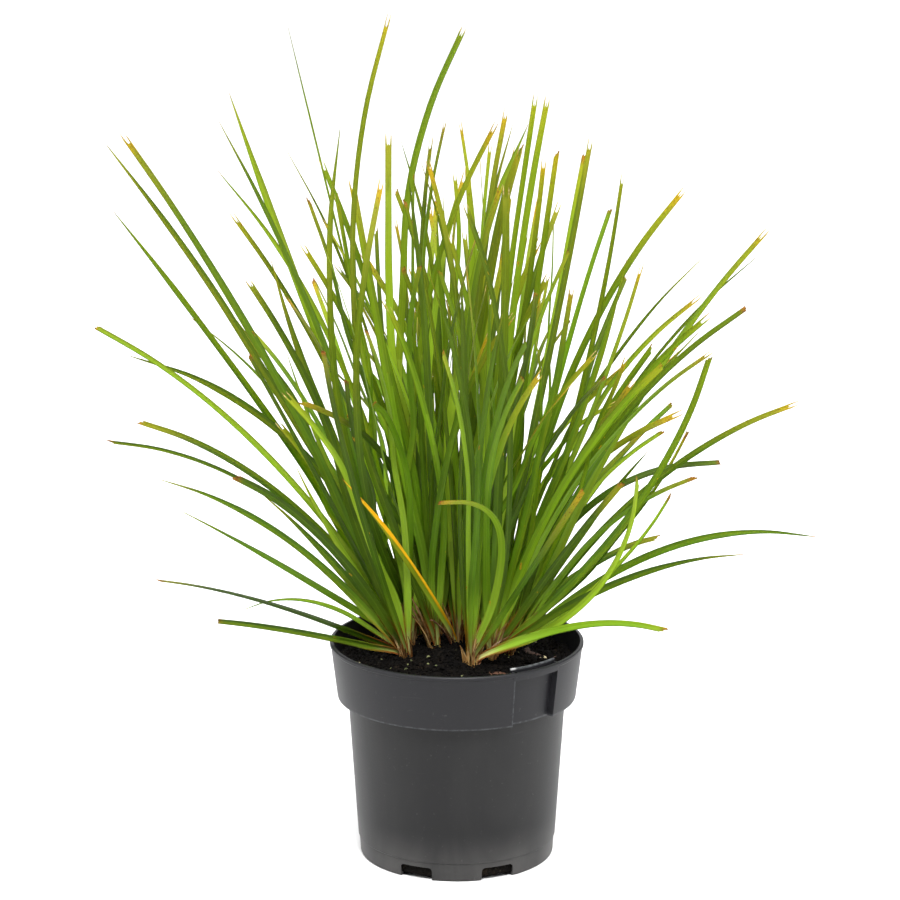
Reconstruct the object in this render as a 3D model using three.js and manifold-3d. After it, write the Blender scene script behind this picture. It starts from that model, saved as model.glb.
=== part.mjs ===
// A lomandra tussock in its round nursery pot. Millimetres, +Z up, origin on the pot's axis at the floor.
import * as THREE from 'three';
import { mergeVertices } from 'three/addons/utils/BufferGeometryUtils.js';
import Module from 'manifold-3d';

const wasm = await Module();
wasm.setup();

// The pot, as radii and heights of its outside.
const POT = {
  height: 124.3,
  rimRadius: 71.1,
  collarFoot: 92.3,
  collarFootRadius: 67.3,
  bodyTopRadius: 61.3,
  baseRadius: 55.2,
  footStep: 10.4,
  footInset: 0.5,
  footBevel: 1,
  stepRise: 0.5,
  wall: 1.65,
  floor: 2,
  lip: 0.6,
  sides: 40,
};

// The drain notches in the foot's edge: a pair at the front and a pair at the back, each at its bearing.
const NOTCH = { bearings: [-24.6, 24.6, 155.4, 204.6], width: 19, height: 7.5, depth: 7 };

// The two label slots in the collar: a recess under a band of the rim, with a flap behind it.
const SLOT = {
  front: [27, 52],
  back: [128, 153],
  band: 4.6,
  bandWall: 1.5,
  recess: 3.8,
  flapWall: 1.5,
  flapRise: 1.5,
  cheek: 1.2,
  overlap: 1,
  below: 20,
};

// The blocks that cut sectors out of the pot reach from inside its wall to well past its rim and top.
const CUTTER = { inner: 40, outer: 76, top: 150, slack: 0.5 };

// The potting mix. Each heap is its x, y, rise and spread: one under the crown and one before it.
const MIX = {
  level: 112,
  heaps: [
    [0, 10, 7.5, 30],
    [-7, -18, 6.5, 11],
  ],
  gap: 0.3,
  rings: 7,
  sides: 32,
  lump: 0.9,
  slotMargin: 2,
};
const WAVES = { across: [0.31, 1.3], back: [0.27, -0.6], slant: [0.12, -0.17], slantShare: 0.6 };

// What every shoot and leaf shares. Rolls and twists are the widest range in degrees.
const STUMP = { radius: 4.2, bottom: 98, rise: 1.5, sides: 8, holeGap: 0.35 };
const LEAF = {
  rootRise: 2,
  rootReach: 3.4,
  spans: 6,
  bend: 0.58,
  keel: 1.25,
  rootWidth: 0.72,
  rootShare: 0.25,
  tipWidth: 0.56,
  tooth: 7,
  toothPlace: 0.75,
  toothLag: 1.5,
  roll: { listed: 70, drawn: 110 },
  twist: { listed: 60, drawn: 100 },
  seed: 23,
  seedStep: 7,
  tidy: 0.12,
};
const CROWN = { x: 0, y: 10 };

const TEETH = 'teeth';
const POINT = 'point';
const CUT = 'cut';

// Each shoot: where it stands, how many leaves follow the rule, and the leaves that make the outline.
// A listed leaf is its tip x, y and z, its bow above the chord, its width, its end and a sideways sway.
const SHOOTS = [
  {
    at: [-27, -3],
    more: 5,
    leaves: [
      [-133, -20, 141, 2, 5.0, CUT],
      [-169, 0, 159, 6, 5.8, CUT],
      [-122, 35, 131, 16, 2.8, POINT],
      [-160, -50, 230, 14, 5.0, POINT],
      [-120, -65, 236, 12, 6.4, CUT],
      [-48, -75, 318, 22, 5.6, CUT],
      [-44, -90, 282, 38, 5.0, CUT],
      [-107, -30, 217, 4, 5.4, POINT],
    ],
  },
  {
    at: [-25, 12],
    more: 6,
    leaves: [
      [-151, -30, 207, 2, 5.2, POINT],
      [-196, 5, 238, 26, 3.6, CUT],
      [-180, 35, 242, 20, 4.8, CUT],
      [-200, 10, 302, 18, 4.2, CUT],
      [-180, -25, 416, 8, 6.4, TEETH],
      [-112, -50, 300, 0, 3.6, CUT],
      [-88, -40, 236, -4, 4.6, POINT],
    ],
  },
  {
    at: [-21, 27],
    more: 5,
    leaves: [
      [-182, 20, 283, 30, 5.6, POINT],
      [-152, 65, 296, 18, 4.0, POINT],
      [-190, 25, 364, 4, 5.0, POINT],
      [-190, -5, 406, 8, 5.2, POINT],
      [-133, 45, 383, 22, 4.0, POINT],
      [-128, -15, 420, 10, 5.4, POINT],
      [-62, -35, 422, -38, 6.2, POINT],
      [-40, -20, 392, -60, 5.0, TEETH],
      [-93, -20, 296, -6, 3.4, POINT],
    ],
  },
  {
    at: [-11, 20],
    more: 6,
    leaves: [
      [-126, 35, 362, 12, 4.4, TEETH],
      [-124, 10, 432, -2, 6.0, POINT],
      [-94, 60, 462, 0, 1.8, POINT],
      [-84, -60, 276, 28, 5.4, CUT],
      [-38, 45, 406, -10, 6.2, TEETH],
      [24, 15, 416, 30, 4.8, TEETH],
      [-87, 30, 346, 14, 5.0, TEETH],
      [-103, 20, 338, -8, 6.0, POINT],
    ],
  },
  {
    at: [-8, 38],
    more: 11,
    leaves: [
      [-14, 55, 402, -28, 5.4, TEETH],
      [6, 70, 380, 40, 5.2, TEETH],
    ],
  },
  {
    at: [-11, 5],
    more: 8,
    leaves: [
      [-76, 30, 394, 12, 4.8, TEETH],
      [-36, -10, 478, -36, 5.0, TEETH],
      [4, -20, 472, 58, 5.4, TEETH],
      [-58, 10, 386, 0, 6.2, TEETH],
      [-26, -45, 396, 12, 6.6, POINT],
    ],
  },
  {
    at: [1, 8],
    more: 11,
    leaves: [
      [-6, 25, 416, -44, 5.0, TEETH],
      [-62, -55, 232, 4, 4.6, POINT],
      [26, 15, 424, 6, 5.0, TEETH],
      [38, -25, 420, 26, 6.4, POINT],
    ],
  },
  {
    at: [5, 26],
    more: 12,
    leaves: [
      [44, 45, 428, 2, 4.8, TEETH],
      [50, 85, 386, -6, 4.8, TEETH],
    ],
  },
  {
    at: [16, 12],
    more: 8,
    leaves: [
      [50, 20, 430, 6, 5.6, TEETH],
      [56, 50, 394, 0, 5.0, CUT],
      [74, 20, 408, -2, 5.8, TEETH],
      [104, 30, 336, -6, 4.6, TEETH],
      [92, -20, 346, -6, 5.0, POINT],
      [140, 60, 332, 20, 2.6, POINT],
    ],
  },
  {
    at: [7, -18],
    more: 9,
    leaves: [
      [116, -45, 143, 11, 5.0, CUT],
      [68, -70, 230, 0, 4.8, CUT],
      [2, -85, 350, 10, 5.6, POINT],
      [-10, -105, 232, 30, 5.2, CUT, -22],
    ],
  },
  {
    at: [18, -7],
    more: 6,
    leaves: [
      [156, -35, 322, 20, 5.2, CUT],
      [138, -50, 302, 18, 4.8, TEETH],
      [138, -20, 292, -16, 5.4, CUT],
      [158, -25, 181, 12, 5.0, POINT],
      [98, -50, 232, -22, 4.6, CUT],
      [110, -60, 296, 14, 6.2, CUT],
      [26, -50, 392, -10, 6.6, TEETH],
      [91, -25, 222, 2, 5.6, CUT],
    ],
  },
  {
    at: [28, 4],
    more: 4,
    leaves: [
      [90, -10, 392, -6, 5.8, TEETH],
      [172, 10, 358, 12, 5.8, TEETH],
      [138, -30, 318, 18, 5.4, TEETH],
      [192, 15, 258, 20, 4.6, TEETH],
      [148, 20, 222, 32, 5.6, CUT],
      [132, -20, 224, 14, 5.2, CUT],
      [202, 15, 180, 24, 5.0, POINT],
      [118, 65, 166, 12, 4.8, CUT],
      [119, -10, 212, -8, 3.0, CUT],
      [134, 0, 302, 12, 6.0, POINT],
      [105, -15, 237, 4, 5.6, POINT],
    ],
  },
  {
    at: [25, 20],
    more: 5,
    leaves: [
      [72, 70, 388, 2, 5.0, CUT],
      [88, 90, 354, 8, 4.6, CUT],
      [128, 45, 374, 22, 5.4, TEETH],
      [170, 60, 332, 20, 2.6, POINT],
      [139, 55, 311, 24, 4.6, TEETH],
      [124, 70, 244, 10, 4.4, CUT],
      [131, 40, 235, -10, 2.6, CUT],
      [118, 50, 233, 14, 4.0, CUT],
      [127, 25, 286, 14, 5.8, TEETH],
      [111, 40, 285, 8, 5.6, CUT],
    ],
  },
  { at: [14, 40], more: 13, leaves: [] },
  { at: [-23, 44], more: 11, leaves: [[-95, 50, 394, 18, 2.4, POINT]] },
];

// How the leaves that aren't listed are drawn.
const RULE = {
  seed: 5,
  lean: { inner: [4, 30], outer: [12, 56] },
  frontLean: 34,
  innerRadius: 17,
  spread: { inner: 180, outer: 75 },
  length: 254,
  lengthPerDegree: 0.75,
  lengthSpread: 0.2,
  sideways: 0.62,
  bow: [0.02, 0.1],
  bowLean: 40,
  bowLeast: 0.2,
  sway: 0.06,
  width: [4.0, 5.6],
  toothed: 0.45,
  cut: 0.35,
  seedStep: 101,
};

// How leaves are bent clear of each other. Hold is the share of a push that each kind of leaf takes.
const CLEAR = {
  rounds: 140,
  extra: 0.8,
  share: 0.92,
  sideways: 0.5,
  bundle: 60,
  push: 0.55,
  margin: 4,
  hold: { listed: 0.2, drawn: 0.8 },
};

const RAD = Math.PI / 180;
const lerp = (a, b, t) => a + (b - a) * t;

// Park and Miller's generator: numbers from 0 to 1, the same on every run.
function seeded(seed) {
  const modulus = 2147483647;
  let state = (seed * 48271 + 11) % modulus;
  const next = () => {
    state = (state * 16807) % modulus;
    return state / modulus;
  };
  next();
  next();
  return next;
}

// Solids: from three.js geometry to manifold and back.
function solid(geometry, matrix = new THREE.Matrix4()) {
  const bare = geometry.clone().applyMatrix4(matrix);
  bare.deleteAttribute('normal');
  bare.deleteAttribute('uv');
  const merged = mergeVertices(bare, 1e-4);
  const vertProperties = new Float32Array(merged.attributes.position.array);
  const triVerts = new Uint32Array(merged.index.array);
  return new wasm.Manifold(new wasm.Mesh({ numProp: 3, vertProperties, triVerts }));
}

// The one body that counts, without the scraps that a cut or a join can leave.
function largest(shape) {
  return shape.decompose().reduce((best, piece) => (piece.volume() > best.volume() ? piece : best));
}

function toMesh(name, shape, material) {
  const { vertProperties, triVerts } = shape.getMesh();
  const geometry = new THREE.BufferGeometry();
  geometry.setAttribute('position', new THREE.BufferAttribute(new Float32Array(vertProperties), 3));
  geometry.setIndex(new THREE.BufferAttribute(new Uint32Array(triVerts), 1));
  geometry.computeVertexNormals();
  const mesh = new THREE.Mesh(geometry, material);
  mesh.name = name;
  return mesh;
}

// A profile of [radius, height] points, from the axis out and round and back to it, turned about Z.
function turned(profile, sides) {
  const points = profile.map(([radius, height]) => new THREE.Vector2(radius, height));
  const upright = new THREE.Matrix4().makeRotationX(Math.PI / 2);
  return solid(new THREE.LatheGeometry(points, sides), upright);
}

// An upright block between two radii and two bearings, counted from the front (-Y) towards +X.
function sector([inner, outer], [from, to], [bottom, top]) {
  const angle = (bearing) => (bearing - 90) * RAD;
  const shape = new THREE.Shape();
  shape.absarc(0, 0, outer, angle(from), angle(to), false);
  shape.absarc(0, 0, inner, angle(to), angle(from), true);
  const options = { depth: top - bottom, bevelEnabled: false, curveSegments: 6 };
  return solid(new THREE.ExtrudeGeometry(shape, options), new THREE.Matrix4().makeTranslation(0, 0, bottom));
}

// The outer radius at a height of the collar, of the body below it and of the flap in a label slot.
const collarShare = (z) => (z - POT.collarFoot) / (POT.height - POT.collarFoot);
const collarRadius = (z) => lerp(POT.collarFootRadius, POT.rimRadius, collarShare(z));
const bodyRadius = (z) => lerp(POT.baseRadius, POT.bodyTopRadius, z / POT.collarFoot);
const flapRadius = (z) => collarRadius(z) - SLOT.recess;

// The pot's wall as a profile. In a label slot the wall steps in behind the band and rises as the flap.
function potProfile(inSlot) {
  const { height, wall, floor, lip, collarFoot, footStep, footInset, footBevel, stepRise } = POT;
  const shoulder = collarFoot + wall;
  const flapTop = height + SLOT.flapRise;
  const collar = [
    [POT.collarFootRadius - lip, collarFoot],
    [POT.collarFootRadius, collarFoot + lip],
    [POT.rimRadius, height - lip],
    [POT.rimRadius - lip, height],
    [POT.rimRadius - wall, height],
    [collarRadius(shoulder) - wall, shoulder],
  ];
  const flap = [
    [flapRadius(collarFoot), collarFoot],
    [flapRadius(flapTop), flapTop],
    [flapRadius(flapTop) - SLOT.flapWall, flapTop],
    [flapRadius(shoulder) - SLOT.flapWall, shoulder],
  ];
  return [
    [0, 0],
    [POT.baseRadius - footInset - footBevel, 0],
    [POT.baseRadius - footInset, footBevel],
    [bodyRadius(footStep) - footInset, footStep],
    [bodyRadius(footStep + stepRise), footStep + stepRise],
    [POT.bodyTopRadius, collarFoot],
    ...(inSlot ? flap : collar),
    [bodyRadius(shoulder) - wall, shoulder],
    [bodyRadius(floor) - wall, floor],
    [0, floor],
  ];
}

// A label slot: the pot's wall is swapped for the recessed one, with the band of the rim left in front.
function withSlot(shell, [from, to]) {
  const { band, bandWall, cheek, overlap, below } = SLOT;
  const { height, collarFoot, rimRadius } = POT;
  const { inner, outer, top, slack } = CUTTER;
  const edge = cheek / rimRadius / RAD;
  const collar = [
    [flapRadius(collarFoot) - overlap, collarFoot],
    [collarRadius(collarFoot), collarFoot],
    [collarRadius(height), height],
    [flapRadius(height) - overlap, height],
    [flapRadius(collarFoot) - overlap, collarFoot],
  ];
  const rim = [
    [rimRadius - bandWall, height - band],
    [collarRadius(height - band), height - band],
    [rimRadius, height],
    [rimRadius - bandWall, height],
    [rimRadius - bandWall, height - band],
  ];
  const wide = [from - edge, to + edge];
  const cheeks = [
    [wide[0], from],
    [to, wide[1]],
  ].map((span) => turned(collar, POT.sides).intersect(sector([inner, outer], span, [0, top])));
  return wasm.Manifold.union([
    shell.subtract(sector([inner, outer], [from, to], [collarFoot - slack, top])),
    turned(potProfile(true), POT.sides).intersect(sector([inner, outer], wide, [collarFoot - below, top])),
    turned(rim, POT.sides).intersect(sector([inner, outer], wide, [0, top])),
    ...cheeks,
  ]);
}

function pot() {
  let shape = turned(potProfile(false), POT.sides);
  shape = withSlot(shape, SLOT.front);
  shape = withSlot(shape, SLOT.back);
  for (const bearing of NOTCH.bearings) {
    const block = new THREE.BoxGeometry(NOTCH.width, 2 * NOTCH.depth, 2 * NOTCH.height);
    const place = new THREE.Matrix4()
      .makeRotationZ(bearing * RAD)
      .multiply(new THREE.Matrix4().makeTranslation(0, -POT.baseRadius, 0));
    shape = shape.subtract(solid(block, place));
  }
  return shape;
}

// The mix's surface: heaped at the crown and lumpy all over.
function mixHeight(x, y) {
  const { across, back, slant, slantShare } = WAVES;
  const heap = ([hx, hy, rise, spread]) => rise * Math.exp(-((Math.hypot(x - hx, y - hy) / spread) ** 2));
  const cross = Math.sin(x * across[0] + across[1]) * Math.cos(y * back[0] + back[1]);
  const lumps = cross + slantShare * Math.sin(x * slant[0] + y * slant[1]);
  return MIX.level + MIX.heaps.map(heap).reduce((sum, rise) => sum + rise) + MIX.lump * lumps;
}

// The height at which a shoot's leaves begin, just over the mix.
const rootHeight = (shoot) => mixHeight(...SHOOTS[shoot].at) + LEAF.rootRise;

function pottingMix() {
  const { wall, collarFoot, floor } = POT;
  const { gap, rings, sides, slotMargin } = MIX;
  const shoulder = collarFoot + wall;
  const topRadius = collarRadius(MIX.level) - wall - gap;
  const profile = [
    [0, floor + gap],
    [bodyRadius(floor) - wall - gap, floor + gap],
    [bodyRadius(shoulder) - wall - gap, shoulder + gap],
    [collarRadius(shoulder) - wall - gap, shoulder + gap],
  ];
  for (let ring = rings; ring >= 0; ring--) {
    profile.push([(topRadius * ring) / rings, MIX.level]);
  }
  const points = profile.map(([radius, height]) => new THREE.Vector2(radius, height));
  const upright = new THREE.Matrix4().makeRotationX(Math.PI / 2);
  const geometry = new THREE.LatheGeometry(points, sides).applyMatrix4(upright);
  const position = geometry.attributes.position;
  for (let i = 0; i < position.count; i++) {
    if (position.getZ(i) > MIX.level - 1) {
      position.setZ(i, mixHeight(position.getX(i), position.getY(i)));
    }
  }
  let mix = solid(geometry);
  for (const [from, to] of [SLOT.front, SLOT.back]) {
    const inner = POT.collarFootRadius - SLOT.recess - SLOT.flapWall - gap;
    const bearings = [from - slotMargin, to + slotMargin];
    mix = mix.subtract(sector([inner, CUTTER.outer], bearings, [collarFoot - CUTTER.slack, CUTTER.top]));
  }
  for (const { at } of SHOOTS) {
    mix = mix.subtract(stump(at, STUMP.radius + STUMP.holeGap, STUMP.bottom - STUMP.holeGap, CUTTER.top));
  }
  return mix;
}

function stump([x, y], radius, bottom, top) {
  const geometry = new THREE.CylinderGeometry(radius, radius, top - bottom, STUMP.sides);
  const upright = new THREE.Matrix4().makeRotationX(Math.PI / 2);
  const place = new THREE.Matrix4().makeTranslation(x, y, (top + bottom) / 2).multiply(upright);
  return solid(geometry, place);
}

// A leaf's centreline as spans + 1 points: a curve that bows above its chord and sways to one side.
function centreline({ shoot, tip, bow, sway }) {
  const foot = new THREE.Vector3(...SHOOTS[shoot].at, rootHeight(shoot));
  const end = new THREE.Vector3(...tip);
  const chord = end.clone().sub(foot).normalize();
  const root = foot.clone().add(new THREE.Vector3(chord.x, chord.y, 0).multiplyScalar(LEAF.rootReach));
  const along = end.clone().sub(root).normalize();
  const up = new THREE.Vector3(0, 0, 1).addScaledVector(along, -along.z).normalize();
  const side = along.clone().cross(up);
  const middle = root.clone().lerp(end, LEAF.bend);
  middle.addScaledVector(up, 2 * bow).addScaledVector(side, 2 * sway);
  const curve = new THREE.QuadraticBezierCurve3(root, middle, end);
  return Array.from({ length: LEAF.spans + 1 }, (_, i) => curve.getPoint(i / LEAF.spans));
}

// A leaf drawn by the rule, for a shoot that stands at a place in the crown.
function drawnLeaf(shoot, draw) {
  const [sx, sy] = SHOOTS[shoot].at;
  const [dx, dy] = [sx - CROWN.x, sy - CROWN.y];
  const place = Math.hypot(dx, dy) < RULE.innerRadius ? 'inner' : 'outer';
  const outward = Math.atan2(dy, dx) / RAD;
  const bearing = outward + RULE.spread[place] * (2 * draw() - 1);
  const forward = -Math.sin(bearing * RAD);
  const most = lerp(RULE.lean[place][1], Math.min(RULE.frontLean, RULE.lean[place][1]), Math.max(0, forward));
  const lean = lerp(RULE.lean[place][0], most, draw());
  const length = (RULE.length - RULE.lengthPerDegree * lean) * (1 + RULE.lengthSpread * (2 * draw() - 1));
  const reach = length * Math.sin(lean * RAD);
  const tip = [
    sx + reach * Math.cos(bearing * RAD) * RULE.sideways,
    sy + reach * Math.sin(bearing * RAD),
    rootHeight(shoot) + length * Math.cos(lean * RAD),
  ];
  const bow = length * lerp(RULE.bow[0], RULE.bow[1], draw()) * (lean / RULE.bowLean + RULE.bowLeast);
  const sway = length * RULE.sway * (2 * draw() - 1);
  const width = lerp(RULE.width[0], RULE.width[1], draw());
  const kind = draw();
  const end = kind < RULE.toothed ? TEETH : kind < RULE.toothed + RULE.cut ? CUT : POINT;
  return { shoot, tip, bow, sway, width, end, place: 'drawn' };
}

function allLeaves() {
  const leaves = [];
  SHOOTS.forEach(({ leaves: listed, more }, shoot) => {
    const draw = seeded(RULE.seed + RULE.seedStep * shoot);
    for (const [x, y, z, bow, width, end, sway = 0] of listed) {
      leaves.push({ shoot, tip: [x, y, z], bow, sway, width, end, place: 'listed' });
    }
    for (let i = 0; i < more; i++) {
      leaves.push(drawnLeaf(shoot, draw));
    }
  });
  leaves.forEach((leaf, i) => {
    const draw = seeded(LEAF.seed + LEAF.seedStep * i);
    leaf.points = centreline(leaf);
    leaf.roll = LEAF.roll[leaf.place] * (draw() - 0.5);
    leaf.twist = LEAF.twist[leaf.place] * (draw() - 0.5);
  });
  bendClear(leaves);
  return leaves;
}

// The closest places on two straight spans, as shares of each, and the gap between them there.
function closest(a, b, c, d) {
  const u = b.clone().sub(a);
  const v = d.clone().sub(c);
  const w = a.clone().sub(c);
  const [uu, uv, vv, uw, vw] = [u.dot(u), u.dot(v), v.dot(v), u.dot(w), v.dot(w)];
  const unit = (x) => Math.min(1, Math.max(0, x));
  const cross = uu * vv - uv * uv;
  let s = cross > 1e-9 ? unit((uv * vw - vv * uw) / cross) : 0;
  const t = unit((uv * s + vw) / vv);
  s = unit((uv * t - uw) / uu);
  const apart = w.addScaledVector(u, s).addScaledVector(v, -t);
  return { s, t, apart };
}

// Leaves that come too close push each other apart, mostly in depth, and stay fixed at their roots.
function bendClear(leaves) {
  const { spans } = LEAF;
  for (let round = 0; round < CLEAR.rounds; round++) {
    const boxOf = ({ points }) => new THREE.Box3().setFromPoints(points).expandByScalar(CLEAR.margin);
    const boxes = leaves.map(boxOf);
    const pushes = leaves.map((leaf) => leaf.points.map(() => new THREE.Vector3()));
    for (let i = 0; i < leaves.length; i++) {
      for (let j = i + 1; j < leaves.length; j++) {
        if (boxes[i].intersectsBox(boxes[j])) {
          pushPair(leaves[i], leaves[j], pushes[i], pushes[j]);
        }
      }
    }
    leaves.forEach((leaf, i) => {
      for (let k = 1; k <= spans; k++) {
        leaf.points[k].addScaledVector(pushes[i][k], CLEAR.push);
      }
    });
  }
}

function pushPair(one, other, onePush, otherPush) {
  const { spans } = LEAF;
  const full = (one.width + other.width) / 2 * CLEAR.share + CLEAR.extra;
  const share = CLEAR.hold[one.place] / (CLEAR.hold[one.place] + CLEAR.hold[other.place]);
  for (let a = 0; a < spans; a++) {
    for (let b = 0; b < spans; b++) {
      const near = closest(one.points[a], one.points[a + 1], other.points[b], other.points[b + 1]);
      const height = one.points[a].z + near.s * (one.points[a + 1].z - one.points[a].z) - one.points[0].z;
      const reach = (a + near.s) * one.points[0].distanceTo(one.points[spans]) / spans;
      const bundled = one.shoot === other.shoot ? Math.min(1, reach / CLEAR.bundle) : 1;
      const need = full * bundled;
      const gap = near.apart.length();
      if (gap < need && height > -1) {
        const away = gap > 1e-6 ? near.apart.divideScalar(gap) : new THREE.Vector3(0, 1, 0);
        away.x *= CLEAR.sideways;
        away.z *= CLEAR.sideways;
        const step = (need - gap) * share;
        const back = (need - gap) * (share - 1);
        onePush[a].addScaledVector(away, step * (1 - near.s));
        onePush[a + 1].addScaledVector(away, step * near.s);
        otherPush[b].addScaledVector(away, back * (1 - near.t));
        otherPush[b + 1].addScaledVector(away, back * near.t);
      }
    }
  }
}

// A leaf's solid: a keeled three-sided strap, with teeth, a point or a cut at its end.
function leafSolid({ points, width, end, roll, twist }) {
  const { spans, keel, rootWidth, rootShare, tipWidth, tooth, toothPlace, toothLag } = LEAF;
  const vertices = [];
  const faces = [];
  const add = (point) => vertices.push(point.x, point.y, point.z) / 3 - 1;
  const quad = (a, b, c, d) => faces.push(a, b, c, a, c, d);
  const last = points[spans].clone().sub(points[spans - 1]).normalize();
  const stations = points.map((point) => point.clone());
  if (end === TEETH) {
    stations[spans].addScaledVector(last, -tooth);
  }
  const sections = [];
  let frame;
  for (let i = 0; i <= spans; i++) {
    const along = stations[Math.min(i + 1, spans)].clone().sub(stations[Math.max(i - 1, 0)]).normalize();
    const t = i / spans;
    const across = new THREE.Vector3(0, 1, 0).cross(along).normalize();
    across.applyAxisAngle(along, (roll + twist * t) * RAD);
    const face = across.clone().cross(along);
    const share = lerp(1, tipWidth, t) * lerp(rootWidth, 1, Math.min(1, t / rootShare));
    const half = (width * share) / 2;
    frame = { across, along, half };
    if (i === spans && end === POINT) {
      break;
    }
    sections.push([
      add(stations[i].clone().addScaledVector(across, -half)),
      add(stations[i].clone().addScaledVector(across, half)),
      add(stations[i].clone().addScaledVector(face, -keel)),
    ]);
  }
  for (let i = 1; i < sections.length; i++) {
    const [l0, r0, k0] = sections[i - 1];
    const [l1, r1, k1] = sections[i];
    quad(k0, k1, r1, r0);
    quad(l0, l1, k1, k0);
    if (end === TEETH && i === sections.length - 1) {
      const middle = add(stations[i]);
      faces.push(middle, l1, l0, r0, middle, l0, r1, middle, r0);
      for (const [from, to, sign] of [[l1, middle, -1], [middle, r1, 1]]) {
        const prong = points[spans].clone().addScaledVector(frame.across, sign * frame.half * toothPlace);
        prong.addScaledVector(frame.along, sign < 0 ? 0 : -toothLag);
        const apex = add(prong);
        faces.push(to, apex, from, k1, apex, to, from, apex, k1);
      }
    } else {
      quad(r0, r1, l1, l0);
    }
  }
  const [l0, r0, k0] = sections[0];
  faces.push(k0, r0, l0);
  const [l1, r1, k1] = sections[sections.length - 1];
  if (end === POINT) {
    const apex = add(points[spans]);
    faces.push(r1, apex, l1, k1, apex, r1, l1, apex, k1);
  } else if (end === CUT) {
    faces.push(r1, k1, l1);
  }
  const mesh = new wasm.Mesh({
    numProp: 3,
    vertProperties: new Float32Array(vertices),
    triVerts: new Uint32Array(faces),
  });
  return new wasm.Manifold(mesh);
}

const MATERIALS = {
  pot: new THREE.MeshStandardMaterial({ color: '#424246', roughness: 0.42, metalness: 0 }),
  mix: new THREE.MeshStandardMaterial({ color: '#1d1814', roughness: 0.95, metalness: 0 }),
  leaf: new THREE.MeshStandardMaterial({ color: '#6f9434', roughness: 0.5, metalness: 0 }),
};

const leaves = allLeaves();
const plant = new THREE.Group();
plant.add(toMesh('pot', pot(), MATERIALS.pot));
plant.add(toMesh('potting_mix', pottingMix(), MATERIALS.mix));
SHOOTS.forEach(({ at }, shoot) => {
  const blades = leaves.filter((leaf) => leaf.shoot === shoot).map(leafSolid);
  const base = stump(at, STUMP.radius, STUMP.bottom, rootHeight(shoot) + STUMP.rise);
  const joined = wasm.Manifold.union([base, ...blades]);
  const body = largest(joined.simplify(LEAF.tidy));
  plant.add(toMesh(`shoot_${String(shoot + 1).padStart(2, '0')}`, body, MATERIALS.leaf));
});

export default plant;
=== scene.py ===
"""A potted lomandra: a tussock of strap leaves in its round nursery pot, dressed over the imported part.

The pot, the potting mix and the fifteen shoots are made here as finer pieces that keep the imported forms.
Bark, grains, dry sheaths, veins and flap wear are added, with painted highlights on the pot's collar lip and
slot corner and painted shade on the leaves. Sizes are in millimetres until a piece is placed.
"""

import logging
import math
from dataclasses import dataclass
from enum import Enum
from typing import Any, Callable, Optional, Sequence, Union

import bmesh
import bpy
import numpy as np
from mathutils import Euler, Matrix, Vector, noise

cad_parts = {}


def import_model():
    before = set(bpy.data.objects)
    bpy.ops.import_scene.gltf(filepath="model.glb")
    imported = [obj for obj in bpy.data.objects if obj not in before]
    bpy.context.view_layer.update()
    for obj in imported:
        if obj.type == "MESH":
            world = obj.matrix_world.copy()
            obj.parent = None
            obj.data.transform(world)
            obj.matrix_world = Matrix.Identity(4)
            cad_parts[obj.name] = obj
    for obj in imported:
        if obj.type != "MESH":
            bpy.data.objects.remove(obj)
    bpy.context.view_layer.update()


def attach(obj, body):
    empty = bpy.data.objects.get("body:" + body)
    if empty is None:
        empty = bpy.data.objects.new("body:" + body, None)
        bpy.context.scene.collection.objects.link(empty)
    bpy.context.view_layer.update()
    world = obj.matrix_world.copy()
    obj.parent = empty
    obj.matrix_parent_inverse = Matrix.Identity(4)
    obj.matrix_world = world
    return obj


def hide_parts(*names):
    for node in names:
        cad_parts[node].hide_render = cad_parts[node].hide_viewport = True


MM = 0.001
LOG = logging.getLogger("lomandra")

Pair = tuple[float, float]
Triple = tuple[float, float, float]
Profile = Sequence[tuple[float, float]]
Value = Union["Port", float, Sequence[float]]


def tone(red: float, green: float, blue: float) -> tuple[float, float, float, float]:
    """Turns a colour in screen values from 0 to 255 into the linear colour that a shader takes."""
    return (*(((c / 255 + 0.055) / 1.055) ** 2.4 if c > 10 else c / 3294.6 for c in (red, green, blue)), 1.0)


def blend(low: float, high: float, share: float) -> float:
    """Gives the number that lies at a share of the way between two others."""
    return low + (high - low) * share


class Draws:
    """A row of numbers from 0 to 1, the same each run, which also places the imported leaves."""

    MODULUS = 2147483647

    def __init__(self, seed: int) -> None:
        """Starts the row of numbers that belongs to a seed."""
        self.state = (seed * 48271 + 11) % self.MODULUS
        self.next()
        self.next()

    def next(self) -> float:
        """Gives the next number."""
        self.state = self.state * 16807 % self.MODULUS
        return self.state / self.MODULUS

    def between(self, low: float, high: float) -> float:
        """Gives the next number, spread between two limits."""
        return low + (high - low) * self.next()


class Port:
    """A node's output in an expression. Its operators add Math nodes."""

    def __init__(self, shader: "Shader", socket: bpy.types.NodeSocket) -> None:
        """Wraps an output socket of a shader's node."""
        self.shader = shader
        self.socket = socket

    def __add__(self, other: Value) -> "Port":
        """Adds."""
        return self.shader.maths("ADD", self, other)

    def __radd__(self, other: Value) -> "Port":
        """Adds, with the number first."""
        return self.shader.maths("ADD", other, self)

    def __sub__(self, other: Value) -> "Port":
        """Takes away."""
        return self.shader.maths("SUBTRACT", self, other)

    def __rsub__(self, other: Value) -> "Port":
        """Is taken away from a number."""
        return self.shader.maths("SUBTRACT", other, self)

    def __mul__(self, other: Value) -> "Port":
        """Multiplies."""
        return self.shader.maths("MULTIPLY", self, other)

    def __rmul__(self, other: Value) -> "Port":
        """Multiplies, with the number first."""
        return self.shader.maths("MULTIPLY", other, self)

    def __truediv__(self, other: Value) -> "Port":
        """Divides."""
        return self.shader.maths("DIVIDE", self, other)


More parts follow.
